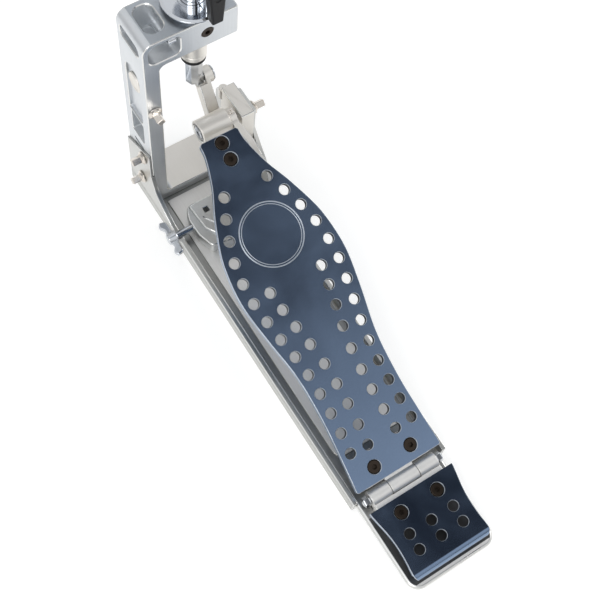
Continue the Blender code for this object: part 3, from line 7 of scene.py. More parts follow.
import bmesh
import bpy
from mathutils import Matrix, Quaternion, Vector
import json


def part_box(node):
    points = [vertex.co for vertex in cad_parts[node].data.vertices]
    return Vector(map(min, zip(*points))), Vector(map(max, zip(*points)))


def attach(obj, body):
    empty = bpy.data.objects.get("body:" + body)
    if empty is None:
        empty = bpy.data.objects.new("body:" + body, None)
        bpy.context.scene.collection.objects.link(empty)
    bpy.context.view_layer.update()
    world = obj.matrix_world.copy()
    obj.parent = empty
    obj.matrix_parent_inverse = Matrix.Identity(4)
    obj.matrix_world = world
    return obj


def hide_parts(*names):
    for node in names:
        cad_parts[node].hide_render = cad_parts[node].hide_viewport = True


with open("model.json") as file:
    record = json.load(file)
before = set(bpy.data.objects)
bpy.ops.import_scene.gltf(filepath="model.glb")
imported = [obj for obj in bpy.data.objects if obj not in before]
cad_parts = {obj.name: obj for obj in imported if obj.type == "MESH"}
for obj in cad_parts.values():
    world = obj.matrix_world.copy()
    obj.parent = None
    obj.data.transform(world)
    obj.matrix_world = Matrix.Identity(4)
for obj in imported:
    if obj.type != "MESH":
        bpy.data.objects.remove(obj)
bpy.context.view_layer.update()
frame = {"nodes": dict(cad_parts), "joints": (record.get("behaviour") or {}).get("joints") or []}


# The camera looks down over the player's left shoulder, close enough that the board runs across the picture.
# The column leaves the picture at its top edge.
EYE = Vector((-0.2755, -0.4925, 0.9476))
AIM = Vector((-0.0145, -0.1998, 0.0823))
ROLL = 10.08
LENS = 67.5
scene = bpy.context.scene
camera = bpy.data.objects.new("camera", bpy.data.cameras.new("camera"))
camera.data.lens = LENS
camera.location = EYE
camera.rotation_mode = "QUATERNION"
camera.rotation_quaternion = (EYE - AIM).to_track_quat("Z", "Y") @ Quaternion((0, 0, 1), math.radians(ROLL))
scene.collection.objects.link(camera)
scene.camera = camera
scene.view_settings.view_transform = "Standard"


# The studio: a white floor that keeps the shadow, and a white room with a dark patch in its ceiling.
# The board's toe and the heel plate mirror that patch, so they show their deep blue. Five dimmer patches low
# on the walls give upright chrome something to mirror.
def add(tree, kind, inputs=None, **settings):
    """One node. Its inputs are values, other nodes' sockets, or nodes for their first output."""
    made = tree.nodes.new(kind)
    for name, value in settings.items():
        setattr(made, name, value)
    for name, value in (inputs or {}).items():
        if isinstance(value, bpy.types.Node):
            value = value.outputs[0]
        if isinstance(value, bpy.types.NodeSocket):
            tree.links.new(value, made.inputs[name])
        else:
            made.inputs[name].default_value = value
    return made


def reckon(tree, operation, first, second):
    return add(tree, "ShaderNodeMath", {0: first, 1: second}, operation=operation)


def blend(tree, factor, first, second):
    """One colour faded into another, as a socket."""
    return add(tree, "ShaderNodeMix", {"Factor": factor, 6: first, 7: second}, data_type="RGBA").outputs[2]


def ramp(tree, value, span, ends=(0.0, 1.0), shape="LINEAR"):
    """A value carried over from one span to another."""
    inputs = {"Value": value, "From Min": span[0], "From Max": span[1], "To Min": ends[0], "To Max": ends[1]}
    return add(tree, "ShaderNodeMapRange", inputs, interpolation_type=shape)


ROOM_LIGHT = 0.92
CEILING_PATCH = (0.276, -0.10, 0.956)
WALL_PATCHES = ((0.90, 0.40, 0.06), (-0.92, 0.34, 0.06), (-0.30, -0.94, 0.06), (0.55, -0.83, 0.06),
                (0.10, 0.99, 0.06))
world = bpy.data.worlds.new("studio")
scene.world = world
world.use_nodes = True
room = world.node_tree
room.nodes.clear()
direction = add(room, "ShaderNodeTexCoord").outputs["Generated"]
path = add(room, "ShaderNodeLightPath").outputs


def towards(way, span, most=1.0):
    """How near a ray runs to a direction, from 0 to the most."""
    sides = {0: direction, 1: Vector(way).normalized()}
    near = add(room, "ShaderNodeVectorMath", sides, operation="DOT_PRODUCT")
    return ramp(room, near.outputs["Value"], span, (0.0, most), "SMOOTHSTEP")


height = add(room, "ShaderNodeSeparateXYZ", {0: direction}).outputs["Z"]
walls = blend(room, ramp(room, height, (-0.1, 0.9)), (0.80, 0.79, 0.77, 1), (0.95, 0.97, 1.0, 1))
around = blend(room, towards(CEILING_PATCH, (0.902, 0.985)), walls, (0.034, 0.038, 0.048, 1))
for way in WALL_PATCHES:
    mirrored = reckon(room, "MULTIPLY", towards(way, (0.90, 0.985), 0.8), path["Is Glossy Ray"])
    around = blend(room, mirrored, around, (0.16, 0.18, 0.21, 1))
backdrop = blend(room, path["Is Camera Ray"], around, (1, 1, 1, 1))
strength = ramp(room, path["Is Camera Ray"], (0.0, 1.0), (ROOM_LIGHT, 1.0))
glow = add(room, "ShaderNodeBackground", {"Color": backdrop, "Strength": strength})
add(room, "ShaderNodeOutputWorld", {"Surface": glow})

FLOOR_HALF = 4.0
FLOOR_WHITE = 0.45
floor_mesh = bpy.data.meshes.new("floor")
floor_mesh.from_pydata([(u * FLOOR_HALF, v * FLOOR_HALF, 0) for u, v in ((-1, -1), (1, -1), (1, 1), (-1, 1))],
                       [], [(0, 1, 2, 3)])
floor = bpy.data.objects.new("floor", floor_mesh)
scene.collection.objects.link(floor)
paper = bpy.data.materials.new("white_floor")
paper.use_nodes = True
tree = paper.node_tree
tree.nodes.clear()
path = add(tree, "ShaderNodeLightPath").outputs
bounced = reckon(tree, "MAXIMUM", path["Is Glossy Ray"], path["Is Transmission Ray"])
seen = reckon(tree, "MAXIMUM", path["Is Camera Ray"], bounced)
lit = add(tree, "ShaderNodeBsdfDiffuse", {"Color": (0.72, 0.72, 0.71, 1)})
white = add(tree, "ShaderNodeEmission",
            {"Color": (1, 1, 1, 1), "Strength": reckon(tree, "MULTIPLY", seen, FLOOR_WHITE)})
add(tree, "ShaderNodeOutputMaterial", {"Surface": add(tree, "ShaderNodeAddShader", {0: lit, 1: white})})
floor.data.materials.append(paper)

for name, place, size, power in (("key_light", (-1.1, -0.9, 1.5), 0.9, 9.0),
                                 ("side_light", (1.4, -0.4, 1.1), 0.8, 5.0)):
    lamp = bpy.data.objects.new(name, bpy.data.lights.new(name, "AREA"))
    lamp.data.size = size
    lamp.data.energy = power
    lamp.location = place
    lamp.rotation_mode = "QUATERNION"
    lamp.rotation_quaternion = (Vector(place) - AIM).to_track_quat("Z", "Y")
    scene.collection.objects.link(lamp)


# The base: a thick brushed steel plate that everything stands on, with a raised floor between the rails.
# Its heel end and the top of the raised floor are painted lighter, as painted light, and the floor under the
# heel plate is painted near black, as painted shade. A ribbed rubber mat under it keeps the pedal from
# creeping.
MM = 0.001
STEPS = 64
FINE = 96
EDGE = 1
ORIGIN = (0, 0, 0)
joints = {joint["name"]: joint for joint in frame["joints"]}
heel_axis = Vector(joints["footboard_hinge"]["pos_m"])
pedal = Matrix.Translation(heel_axis) @ Matrix.Diagonal((MM, MM, MM, 1.0))
column = Matrix.Diagonal((MM, MM, MM, 1.0))


def node_box(node, place):
    """A frame node's lowest and highest corners, in millimetres of the place's own frame."""
    back = place.inverted()
    low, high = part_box(node)
    return back @ low, back @ high


def loft(rings, along="z", at=ORIGIN, looped=False, edges=(), edge_steps=()):
    """Skin a list of equal rings, capped or looped. Spans and steps named as edges take the edge material."""
    count = len(rings[0])
    order = {"x": (2, 0, 1), "y": (0, 2, 1), "z": (0, 1, 2)}[along]
    points = [tuple(point[axis] + shift for axis, shift in zip(order, at)) for one in rings for point in one]
    faces, marks = [], []
    for level in range(len(rings) if looped else len(rings) - 1):
        low, high = level * count, ((level + 1) % len(rings)) * count
        for step in range(count):
            after = (step + 1) % count
            faces.append((low + step, low + after, high + after, high + step))
            marks.append(EDGE if level in edges or step in edge_steps else 0)
    if not looped:
        faces += [tuple(reversed(range(count))), tuple(range((len(rings) - 1) * count, len(rings) * count))]
        marks += [0, 0]
    return points, faces, marks


def circle(radius, height, steps=STEPS):
    turns = [2 * math.pi * index / steps for index in range(steps)]
    return [(radius * math.cos(angle), radius * math.sin(angle), height) for angle in turns]


def turned(profile, along="z", at=ORIGIN, steps=STEPS, looped=False, edges=()):
    """A piece off the lathe, from (radius, height) points."""
    return loft([circle(radius, height, steps) for radius, height in profile], along, at, looped, edges)


def area(outline):
    """The outline's signed area, positive where it runs anticlockwise."""
    return sum(u * outline[(i + 1) % len(outline)][1] - outline[(i + 1) % len(outline)][0] * v
               for i, (u, v) in enumerate(outline)) / 2


def grown(outline, amount):
    """The outline moved outwards by the amount, square to its sides."""
    side = 1 if area(outline) > 0 else -1
    moved = []
    for index, point in enumerate(outline):
        here = Vector(point)
        before = (here - Vector(outline[index - 1])).normalized()
        after = (Vector(outline[(index + 1) % len(outline)]) - here).normalized()
        bisector = Vector((before.y + after.y, -before.x - after.x)) * side
        scale = amount * 2 / max(bisector.length_squared, 0.4)
        moved.append((here.x + bisector.x * scale, here.y + bisector.y * scale))
    return moved


def levels(outline, heights):
    """Rings of one outline, each at its height and grown by its amount."""
    return [[(u, v, height) for u, v in grown(outline, amount)] for height, amount in heights]


def plate(outline, low, high, along="z", at=ORIGIN, edge=0.6, steps=3):
    """A flat piece whose edges are rounded off. The rounded strips take the edge material."""
    heights = []
    for step in range(steps + 1):
        angle = math.pi / 2 * step / steps
        heights.append((low + edge * (1 - math.cos(angle)), -edge * (1 - math.sin(angle))))
    for step in range(steps + 1):
        angle = math.pi / 2 * (1 - step / steps)
        heights.append((high - edge * (1 - math.cos(angle)), -edge * (1 - math.sin(angle))))
    strips = [*range(steps), *range(steps + 1, 2 * steps + 1)]
    return loft(levels(outline, heights), along, at, edges=strips)


def opening(outline, low, high, along="z", at=ORIGIN, edge=0.8, over=1.0):
    """What is milled away for a window, with both rims chamfered."""
    heights = ((low - over, edge + over), (low + edge, 0), (high - edge, 0), (high + over, edge + over))
    return loft(levels(outline, heights), along, at, edges=(0, 2))


def drilled(radius, low, high, along="z", at=ORIGIN, edge=0.5, steps=40):
    """What a drill and a countersink take away, with both rims chamfered."""
    wide = radius + edge + 1
    return turned(((wide, low - 1), (radius, low + edge), (radius, high - edge), (wide, high + 1)), along, at,
                  steps, edges=(0, 2))


def rounded(corners, steps=6):
    """An outline whose (u, v, radius) corners are arcs. A radius of 0 leaves the corner sharp."""
    outline = []
    for index, (u, v, radius) in enumerate(corners):
        if radius == 0:
            outline.append((u, v))
            continue
        before, after = corners[index - 1], corners[(index + 1) % len(corners)]
        to_before = math.atan2(before[1] - v, before[0] - u)
        to_after = math.atan2(after[1] - v, after[0] - u)
        spread = (to_after - to_before + math.pi) % (2 * math.pi) - math.pi
        middle = to_before + spread / 2
        reach = radius / math.sin(abs(spread) / 2)
        centre_u, centre_v = u + reach * math.cos(middle), v + reach * math.sin(middle)
        sweep = math.pi - abs(spread)
        side = 1 if spread < 0 else -1
        for step in range(steps + 1):
            angle = middle + math.pi + side * sweep * (step / steps - 0.5)
            outline.append((centre_u + radius * math.cos(angle), centre_v + radius * math.sin(angle)))
    return outline


def rectangle(u_low, u_high, v_low, v_high, radius=0.0, steps=6):
    return rounded(((u_low, v_low, radius), (u_high, v_low, radius), (u_high, v_high, radius),
                    (u_low, v_high, radius)), steps)


def bench_mesh(name, shapes, place, finishes):
    """One object from closed shapes, in metres, with a material for the faces and one for the edges."""
    work = bmesh.new()
    for points, faces, marks in shapes:
        corners = [work.verts.new(place @ Vector(point)) for point in points]
        for face, mark in zip(faces, marks):
            work.faces.new([corners[index] for index in face]).material_index = mark
    bmesh.ops.recalc_face_normals(work, faces=work.faces)
    mesh = bpy.data.meshes.new(name)
    work.to_mesh(mesh)
    work.free()
    for material in finishes:
        mesh.materials.append(material)
    piece = bpy.data.objects.new(name, mesh)
    scene.collection.objects.link(piece)
    return piece


def bench_step(piece, operation, shapes, place, finishes):
    """Join the shapes to the piece, or cut them out of it."""
    step = piece.modifiers.new("bench", "BOOLEAN")
    step.operation = operation
    step.material_mode = "TRANSFER" if len(finishes) > 1 else "INDEX"
    step.object = bench_mesh(f"{piece.name}_tool", shapes, place, finishes)


def settle(piece):
    """Turn the object and its modifiers into a plain mesh, and drop the helpers that it used."""
    bpy.context.view_layer.update()
    helpers = [step.object for step in piece.modifiers if step.type == "BOOLEAN"]
    graph = bpy.context.evaluated_depsgraph_get()
    finished = bpy.data.meshes.new_from_object(piece.evaluated_get(graph))
    piece.modifiers.clear()
    piece.data = finished
    for helper in helpers:
        bpy.data.objects.remove(helper)
    return piece


def machined(name, shapes, place, look, body, nodes, cuts=()):
    """A finished piece: solids joined and cuts taken away. Its look is its materials and a slot name, which
    is not used.
    """
    finishes, slot = look
    first, *rest = shapes
    piece = bench_mesh(name, [first], place, finishes)
    for operation, tools in (("UNION", rest), ("DIFFERENCE", cuts)):
        for tool in tools:
            bench_step(piece, operation, tool if isinstance(tool, list) else [tool], place, finishes)
    return dressed(settle(piece), body, nodes)


def dressed(piece, body, nodes, sharp=38):
    """Smooth shading with flat faces kept flat, then the piece rides on its body and stands for its nodes."""
    work = bmesh.new()
    work.from_mesh(piece.data)
    bmesh.ops.remove_doubles(work, verts=work.verts, dist=0.000002)
    bmesh.ops.dissolve_degenerate(work, edges=work.edges, dist=0.000001)
    work.to_mesh(piece.data)
    work.free()
    piece.data.shade_smooth()
    piece.data.set_sharp_from_angle(angle=math.radians(sharp))
    weigh = piece.modifiers.new("weigh", "WEIGHTED_NORMAL")
    weigh.keep_sharp = True
    weigh.weight = 80
    settle(piece)
    nodes = [nodes] if isinstance(nodes, str) else nodes
    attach(piece, body)
    if nodes:
        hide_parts(*nodes)
    return piece


def effect(name, inputs, output):
    """An empty shader group with named inputs, each with its starting value, and one number to put out."""
    group = bpy.data.node_groups.new(name, "ShaderNodeTree")
    for label, kind, start in inputs:
        socket = group.interface.new_socket(label, in_out="INPUT", socket_type=f"NodeSocket{kind}")
        socket.default_value = start
    group.interface.new_socket(output, in_out="OUTPUT", socket_type="NodeSocketFloat")
    return group, add(group, "NodeGroupInput").outputs, add(group, "NodeGroupOutput").inputs[output]


# Grain is the fine texture that brushing, blasting or casting leaves: noise stretched along the tool's path
grain_sockets = (("Scale", "Float", 400.0), ("Stretch", "Vector", (1, 1, 1)))
grain_group, given, result = effect("grain", grain_sockets, "Height")
spot = add(grain_group, "ShaderNodeTexCoord").outputs["Object"]
laid = add(grain_group, "ShaderNodeVectorMath", {0: spot, 1: given["Stretch"]}, operation="MULTIPLY")
speckle = add(grain_group, "ShaderNodeTexNoise",
              {"Vector": laid, "Scale": given["Scale"], "Detail": 3.0, "Roughness": 0.6})
grain_group.links.new(speckle.outputs[0], result)

# Handling is the slow change of gloss that fingers and wiping leave, with a few finer smears in it
handling_group, given, result = effect("handling", [("Scale", "Float", 14.0)], "Smear")
spot = add(handling_group, "ShaderNodeTexCoord").outputs["Object"]
cloud = add(handling_group, "ShaderNodeTexNoise",
            {"Vector": spot, "Scale": given["Scale"], "Detail": 4.0, "Roughness": 0.55, "Distortion": 0.4})
handling_group.links.new(ramp(handling_group, cloud, (0.35, 0.65)).outputs[0], result)


def finish(name, colour, rough, scale, stretch=(1, 1, 1), bump=0.08, tone=0.05, smear=0.05, metallic=1.0,
           smear_scale=14.0, **sockets):
    """A real surface: colour and gloss vary with grain and handling, and the grain stands up a little."""
    material = bpy.data.materials.new(name)
    material.use_nodes = True
    tree = material.node_tree
    shader = tree.nodes["Principled BSDF"].inputs
    grain = add(tree, "ShaderNodeGroup", {"Scale": scale, "Stretch": stretch}, node_tree=grain_group)
    hands = add(tree, "ShaderNodeGroup", {"Scale": smear_scale}, node_tree=handling_group)
    dark = [channel * (1 - tone) for channel in colour]
    light = [min(channel * (1 + tone), 1.0) for channel in colour]
    gloss = ramp(tree, hands, (0.0, 1.0), (rough - smear, rough + smear))
    relief = add(tree, "ShaderNodeBump", {"Height": grain, "Strength": bump, "Distance": 0.0002})
    tree.links.new(blend(tree, grain, (*dark, 1), (*light, 1)), shader["Base Color"])
    tree.links.new(gloss.outputs[0], shader["Roughness"])
    tree.links.new(relief.outputs[0], shader["Normal"])
    shader["Metallic"].default_value = metallic
    for socket, value in sockets.items():
        shader[socket.replace("_", " ")].default_value = value
    return material


brushed_steel = finish("brushed_steel", (0.36, 0.36, 0.35), 0.34, 900, (1, 0.02, 1), bump=0.25, tone=0.12)
# Rounded edges are lighter: bright cut metal, with a painted highlight along them.
steel_edge = finish("polished_steel_edge", (0.76, 0.755, 0.735), 0.30, 500, bump=0.05)
# A lighter colour and a near-black one for the base's floor: painted light and painted shade.
raised_floor = finish("raised_floor", (0.80, 0.79, 0.77), 0.55, 900, (1, 0.02, 1), bump=0.15, tone=0.06)
shaded_floor = finish("blackened_floor", (0.10, 0.10, 0.10), 0.42, 900, (1, 0.02, 1), bump=0.2, tone=0.12)
RIDGE_RISE = 1.8
RIDGE_START = 45.0
RIDGE_HALF = 35.5
HEEL_END, HINGE_LINE = -79.0, -12.0
low, high = node_box("base_plate", pedal)
ridge_end = node_box("c_frame", pedal)[0].y - 4.0
base_top = high.z - RIDGE_RISE
outline = rounded(((low.x, low.y, 12), (high.x, low.y, 12), (high.x, high.y, 2), (low.x, high.y, 2)), 10)
ridge = rounded(((-RIDGE_HALF, RIDGE_START, 9), (RIDGE_HALF, RIDGE_START, 9), (RIDGE_HALF, ridge_end, 1),
                 (-RIDGE_HALF, ridge_end, 1)), 8)
base_sheet = plate(outline, low.z, base_top, edge=(base_top - low.z) / 2 - 0.1, steps=6)
BASE_LOOK = ((brushed_steel, steel_edge, raised_floor, shaded_floor), "satin_steel")
base = machined("base_plate_machined", [base_sheet, plate(ridge, base_top - 2, high.z, edge=0.5)], pedal,
                BASE_LOOK, "base", "base_plate")
work = bmesh.new()
work.from_mesh(base.data)
for line in (HEEL_END, HINGE_LINE):
    bmesh.ops.bisect_plane(work, geom=[*work.verts, *work.edges, *work.faces],
                           plane_co=pedal @ Vector((0, line, 0)), plane_no=(0, 1, 0))
# Up-facing faces at the heel end and on the ridge take the painted light. Those under the heel plate take the
# painted shade.
for face in work.faces:
    centre = pedal.inverted() @ face.calc_center_median()
    if face.normal.z < 0.9 or face.material_index == EDGE:
        continue
    if centre.y < HEEL_END or centre.z > high.z - 0.1:
        face.material_index = 2
    elif centre.y < HINGE_LINE:
        face.material_index = 3
work.to_mesh(base.data)
work.free()

black_rubber = finish("black_rubber", (0.014, 0.014, 0.014), 0.72, 1600, bump=0.3, tone=0.2, metallic=0.0,
                      Specular_IOR_Level=0.3)
RUBBER = ((black_rubber, black_rubber), "rubber")
RIB_PITCH = 9.0
low, high = node_box("base_mat", pedal)
mat = plate(rectangle(low.x, high.x, low.y, high.y, 7, 8), low.z, high.z, edge=0.4)
rib_lines = [low.y + 12 + RIB_PITCH * step for step in range(int((high.y - low.y - 20) / RIB_PITCH))]
grooves = [plate(rectangle(low.x - 1, high.x + 1, y, y + 2.0), low.z - 1, low.z + 0.8, edge=0.05, steps=1)
           for y in rib_lines]
machined("ribbed_mat", [mat], pedal, RUBBER, "base", "base_mat", [grooves])


# The side rails: extruded aluminium strips screwed along the base, each rising to an ear beside the frame.
# Three fine lines run along the outer face, and the left one has a notch for the wing screw's shank.
extruded = finish("extruded_aluminium", (0.56, 0.56, 0.54), 0.33, 1100, (1, 0.02, 1), bump=0.2, tone=0.08)
# Rounded edges are lighter: bright cut metal, with a painted highlight along them.
bright_edge = finish("bright_aluminium_edge", (0.78, 0.78, 0.76), 0.2, 600, bump=0.04)
WING_AXIS = pedal.inverted() @ Vector(joints["side_wing_turn"]["pos_m"])
EAR_SWEEP = ((300, 0), (310, 2.5), (320, 8), (328, 14), (335, 21), (340, 30), (343, 40))
EAR_BACK = 51.0
EAR_SCREWS = ((355.0, 57.0), (359.5, 18.0))
POST_SCREW = (330.0, 97.0)
LINE_HEIGHTS = (-14.5, -7.5, -4.5)
frame_low, frame_high = node_box("c_frame", pedal)
for side, node in ((-1, "left_rail"), (1, "right_rail")):
    low, high = node_box(node, pedal)
    outer = low.x if side < 0 else high.x
    lines = [plate(rectangle(low.y - 2, high.y + 2, z, z + 0.7), outer - 0.35, outer + 0.35, "x", edge=0.05,
                   steps=1) for z in LINE_HEIGHTS]
    if side < 0:
        outline = [(low.y, low.z), (low.y, 0), *EAR_SWEEP, (344, high.z), (high.y, EAR_BACK), (high.y, low.z)]
        notch = rectangle(WING_AXIS.y - 4, WING_AXIS.y + 4, WING_AXIS.z - 4, 6, 3.5)
        room_for_frame = rectangle(frame_low.x - 0.3, 0, frame_low.y - 0.3, frame_high.y + 5)
        screws = EAR_SCREWS
        more = [opening(notch, low.x, high.x, "x", edge=0.3),
                plate(room_for_frame, frame_low.z - 0.3, high.z + 5, edge=0.05, steps=1)]
    else:
        outline = [(low.y, low.z), (low.y, 0), (262, 0), (276, 14), (301.5, 50.5), (323, 77), (323, high.z),
                   (349, high.z), (high.y, 60), (high.y, low.z)]
        screws = (POST_SCREW,)
        more = []
    holes = [drilled(3.4, low.x, high.x, "x", (0, y, z), 0.3, 24) for y, z in screws]
    machined(f"{node}_machined", [plate(outline, low.x, high.x, "x", edge=0.5, steps=2)], pedal,
             ((extruded, bright_edge), "satin_aluminium"), "base", node, [holes, lines, *more])


# The C-frame: one aluminium casting, machined on every face, with windows milled through its arm and upright.
# A blank round badge sits in the upright's pocket, and the right post stands inside the other ear.
cast_satin = finish("satin_frame", (0.68, 0.70, 0.72), 0.40, 700, (1, 1, 0.03), bump=0.12, tone=0.05)
machined_light = finish("machined_block", (0.80, 0.77, 0.72), 0.46, 800, (1, 0.03, 1), bump=0.06, tone=0.03)
# A darker copy of the frame's colour for the arm's top: painted shade and painted reflection round the
# flange.
milled_top = finish("milled_top", (0.46, 0.49, 0.525), 0.36, 700, (0.03, 1, 1), bump=0.12, tone=0.05)
MILLED = ((machined_light, bright_edge), "satin_aluminium")
UPRIGHT = 14.0
ARM = 32.0
FOOT = 12.2
POST_LEFT, POST_BACK = 31.0, 354.0
low, high = frame_low, frame_high
arm_low, inner = high.z - ARM, low.x + UPRIGHT
middle = (arm_low + high.z) / 2
post_low, post_high = node_box("right_post", pedal)
outline = rounded(((low.x, low.z, 0.8), (POST_LEFT - 0.3, low.z, 0.8), (POST_LEFT - 0.3, low.z + FOOT, 0.8),
                   (inner, low.z + FOOT, 6), (inner, arm_low, 6), (high.x, arm_low, 2), (high.x, high.z, 2),
                   (low.x, high.z, 10)), 8)
FRONT_SLOT = rectangle(-40.5, -12.5, middle - 10, middle + 12, 6)
TOP_SLOT = rectangle(low.x + 10, low.x + 27, low.y + 9, high.y - 5, 7)
SIDE_SLOT = rectangle(350, 380, middle - 5, middle + 7, 5)
POCKET = rounded(((354, 110, 2), (377, 110, 2), (377, 178, 11.4), (354, 178, 11.4)), 10)
WINDOW = rectangle(354, 375, 78, 107, 2)
ARM_SCREW = (11.6, 0, 211)
UPRIGHT_SCREW = (-39.3, 0, 138)
SLOT_SCREW = (0, 352, middle)
SCREW_BORE = 3.1


def blind(outline, mouth, floor, along="z", edge=0.8):
    """What is milled away for a pocket: a chamfered mouth and a flat floor."""
    inwards = 1 if floor > mouth else -1
    heights = ((mouth - inwards, edge + 1), (mouth + inwards * edge, 0), (floor, 0))
    return loft(levels(outline, heights), along, edges=(0,))


def straight(radius, low, high, along="z", at=ORIGIN, steps=24):
    """A plain round bar, or the hole for one."""
    return turned(((radius, low), (radius, high)), along, at, steps)


column_x, column_y = -heel_axis.x / MM, -heel_axis.y / MM
bush_low, bush_high = node_box("guide_bush", pedal)
bush_radius = (bush_high.x - bush_low.x) / 2
ribs = [plate(rectangle(356, 373, z, z + 4.0, 1.6), low.x - 1, low.x + 5, "x", edge=0.3, steps=2)
        for z in (49.0, 56.5, 64.0)]
arm_screw_seat = ((7.1, low.y - 1), (5.9, low.y + 0.2), (3.3, low.y + 3.1), (3.3, low.y + 8))
cuts = [blind(FRONT_SLOT, low.y, high.y - 5, "y"), blind(TOP_SLOT, high.z, arm_low + 4),
        blind(SIDE_SLOT, low.x, low.x + 10, "x"), opening(WINDOW, low.x, inner, "x", edge=0.6), ribs,
        blind(POCKET, low.x, low.x + 3, "x"),
        [drilled(bush_radius + 0.3, arm_low, high.z, "z", (column_x, column_y, 0)),
         drilled(SCREW_BORE, low.y, low.y + 10.8, "y", UPRIGHT_SCREW, 0.3, 24),
         turned(arm_screw_seat, "y", ARM_SCREW)]]
c_frame = machined("frame_machined", [plate(outline, low.y, high.y, "y", edge=1.0)], pedal,
                   ((cast_satin, bright_edge), "satin_aluminium"), "base", "c_frame", cuts)
foot_top = (pedal @ Vector((0, 0, low.z + FOOT + 0.1))).z
arm_top = (pedal @ Vector((0, 0, high.z - 0.1))).z
c_frame.data.materials.append(machined_light)
c_frame.data.materials.append(milled_top)
# The foot's up-facing faces take the lighter block colour, as painted light, and the arm's top takes the
# darker copy, as painted shade.
for face in c_frame.data.polygons:
    if face.center.z < foot_top and face.normal.z > 0.9:
        face.material_index = 2
    elif face.center.z > arm_top and face.normal.z > 0.99:
        face.material_index = 3

chrome = finish("chrome", (0.63, 0.65, 0.68), 0.09, 30, bump=0.02, tone=0.02, smear=0.03, smear_scale=30)
CHROMED = ((chrome, chrome), "chrome")
slot_screw = turned(((3.4, -20.0), (3.9, -19.5), (3.9, -13.2), (2.4, -12.8), (2.4, -10.0)), "x",
                    SLOT_SCREW, 40)
machined("slot_screw", [slot_screw], pedal, CHROMED, "base", (),
         [straight(2.0, -21, -17.5, "x", SLOT_SCREW, 6)])
low, high = node_box("side_medallion", pedal)
badge = [(9.5, high.x), (9.5, low.x + 0.8), (9.1, low.x + 0.2), (8.6, low.x), (7.9, low.x + 0.1),
         (7.6, low.x + 0.5), (0.4, low.x + 0.35)]
machined("blank_badge", [turned(badge, "x", (0, (low.y + high.y) / 2, (low.z + high.z) / 2))], pedal,
         ((machined_light, chrome), "chrome"), "base", "side_medallion")

post = plate(rectangle(POST_LEFT, post_high.x, post_low.y, POST_BACK, 0.6), post_low.z, post_high.z, edge=0.8)
boss = turned(((3.8, 93), (4.2, 93.4), (4.2, 105.6), (3.8, 106)), "z", (POST_LEFT + 3, POST_BACK + 1, 0), 32)
machined("right_post_machined", [post, boss], pedal, MILLED, "base", "right_post",
         [straight(SCREW_BORE, post_high.x - 11, post_high.x + 1, "x", (0, *POST_SCREW))])


# Drum-key screws: square heads on a flange and a washer, made of nickel-plated steel.
# Geometry Nodes set one screw on each spot, turned to the way that its spot faces.
def grower(name, sockets):
    """An empty Geometry Nodes tree with named inputs, with its input sockets and its result."""
    tree = bpy.data.node_groups.new(name, "GeometryNodeTree")
    for label, kind in (("Geometry", "Geometry"), *sockets):
        tree.interface.new_socket(label, in_out="INPUT", socket_type=f"NodeSocket{kind}")
    tree.interface.new_socket("Geometry", in_out="OUTPUT", socket_type="NodeSocketGeometry")
    return tree, add(tree, "NodeGroupInput").outputs, add(tree, "NodeGroupOutput").inputs["Geometry"]


def grow(piece, tree, values):
    """Let the tree work on the piece, with its named inputs set by their sockets' identifiers."""
    step = piece.modifiers.new("grow", "NODES")
    step.node_group = tree
    for socket in tree.interface.items_tree:
        if socket.name in values:
            step[socket.identifier] = values[socket.name]
    return piece


def painted(tree, geometry, material, **only):
    return add(tree, "GeometryNodeSetMaterial", {"Geometry": geometry, "Material": material, **only})


def loose_points(name, points):
    """A mesh of points alone, in metres."""
    mesh = bpy.data.meshes.new(name)
    mesh.from_pydata(points, [], [])
    piece = bpy.data.objects.new(name, mesh)
    scene.collection.objects.link(piece)
    return piece


def fixing_tree():
    """A tree that sets the fastener on every point: its own Z along the point's way, turned by its spin."""
    tree, given, result = grower("set_fasteners", (("Fastener", "Object"), ("Finish", "Material")))
    part = add(tree, "GeometryNodeObjectInfo", {"Object": given["Fastener"]})
    way = add(tree, "GeometryNodeInputNamedAttribute", {"Name": "facing"}, data_type="FLOAT_VECTOR")
    spin = add(tree, "GeometryNodeInputNamedAttribute", {"Name": "spin"}, data_type="FLOAT")
    aligned = add(tree, "FunctionNodeAlignRotationToVector", {"Vector": way.outputs["Attribute"]}, axis="Z")
    quarter = add(tree, "FunctionNodeAxisAngleToRotation",
                  {"Axis": (0, 0, 1), "Angle": spin.outputs["Attribute"]})
    facing = add(tree, "FunctionNodeRotateRotation", {"Rotation": aligned, "Rotate By": quarter},
                 rotation_space="LOCAL")
    points = add(tree, "GeometryNodeMeshToPoints", {"Mesh": given["Geometry"]})
    placed = add(tree, "GeometryNodeInstanceOnPoints",
                 {"Points": points, "Instance": part.outputs["Geometry"], "Rotation": facing})
    real = add(tree, "GeometryNodeRealizeInstances", {"Geometry": placed})
    tree.links.new(painted(tree, real, given["Finish"]).outputs[0], result)
    return tree


set_fasteners = fixing_tree()


def fastened(name, fastener, spots, material, body, nodes, sharp=38):
    """The fastener, set on each (point, way, turn) spot, as one plain piece for its body."""
    piece = loose_points(name, [point for point, _, _ in spots])
    piece.data.attributes.new("facing", "FLOAT_VECTOR", "POINT")
    piece.data.attributes.new("spin", "FLOAT", "POINT")
    for index, (_, way, turn) in enumerate(spots):
        piece.data.attributes["facing"].data[index].vector = way
        piece.data.attributes["spin"].data[index].value = math.radians(turn)
    grow(piece, set_fasteners, {"Fastener": fastener, "Finish": material})
    return dressed(settle(piece), body, nodes, sharp)


def pattern_piece(name, shapes, cuts=()):
    """A fastener on its own Z axis at the origin, kept out of sight."""
    piece = bench_mesh(name, [shapes[0]], column, ())
    for operation, tools in (("UNION", shapes[1:]), ("DIFFERENCE", cuts)):
        for tool in tools:
            bench_step(piece, operation, [tool], column, ())
    settle(piece)
    piece.hide_render = True
    piece.hide_viewport = True
    return piece


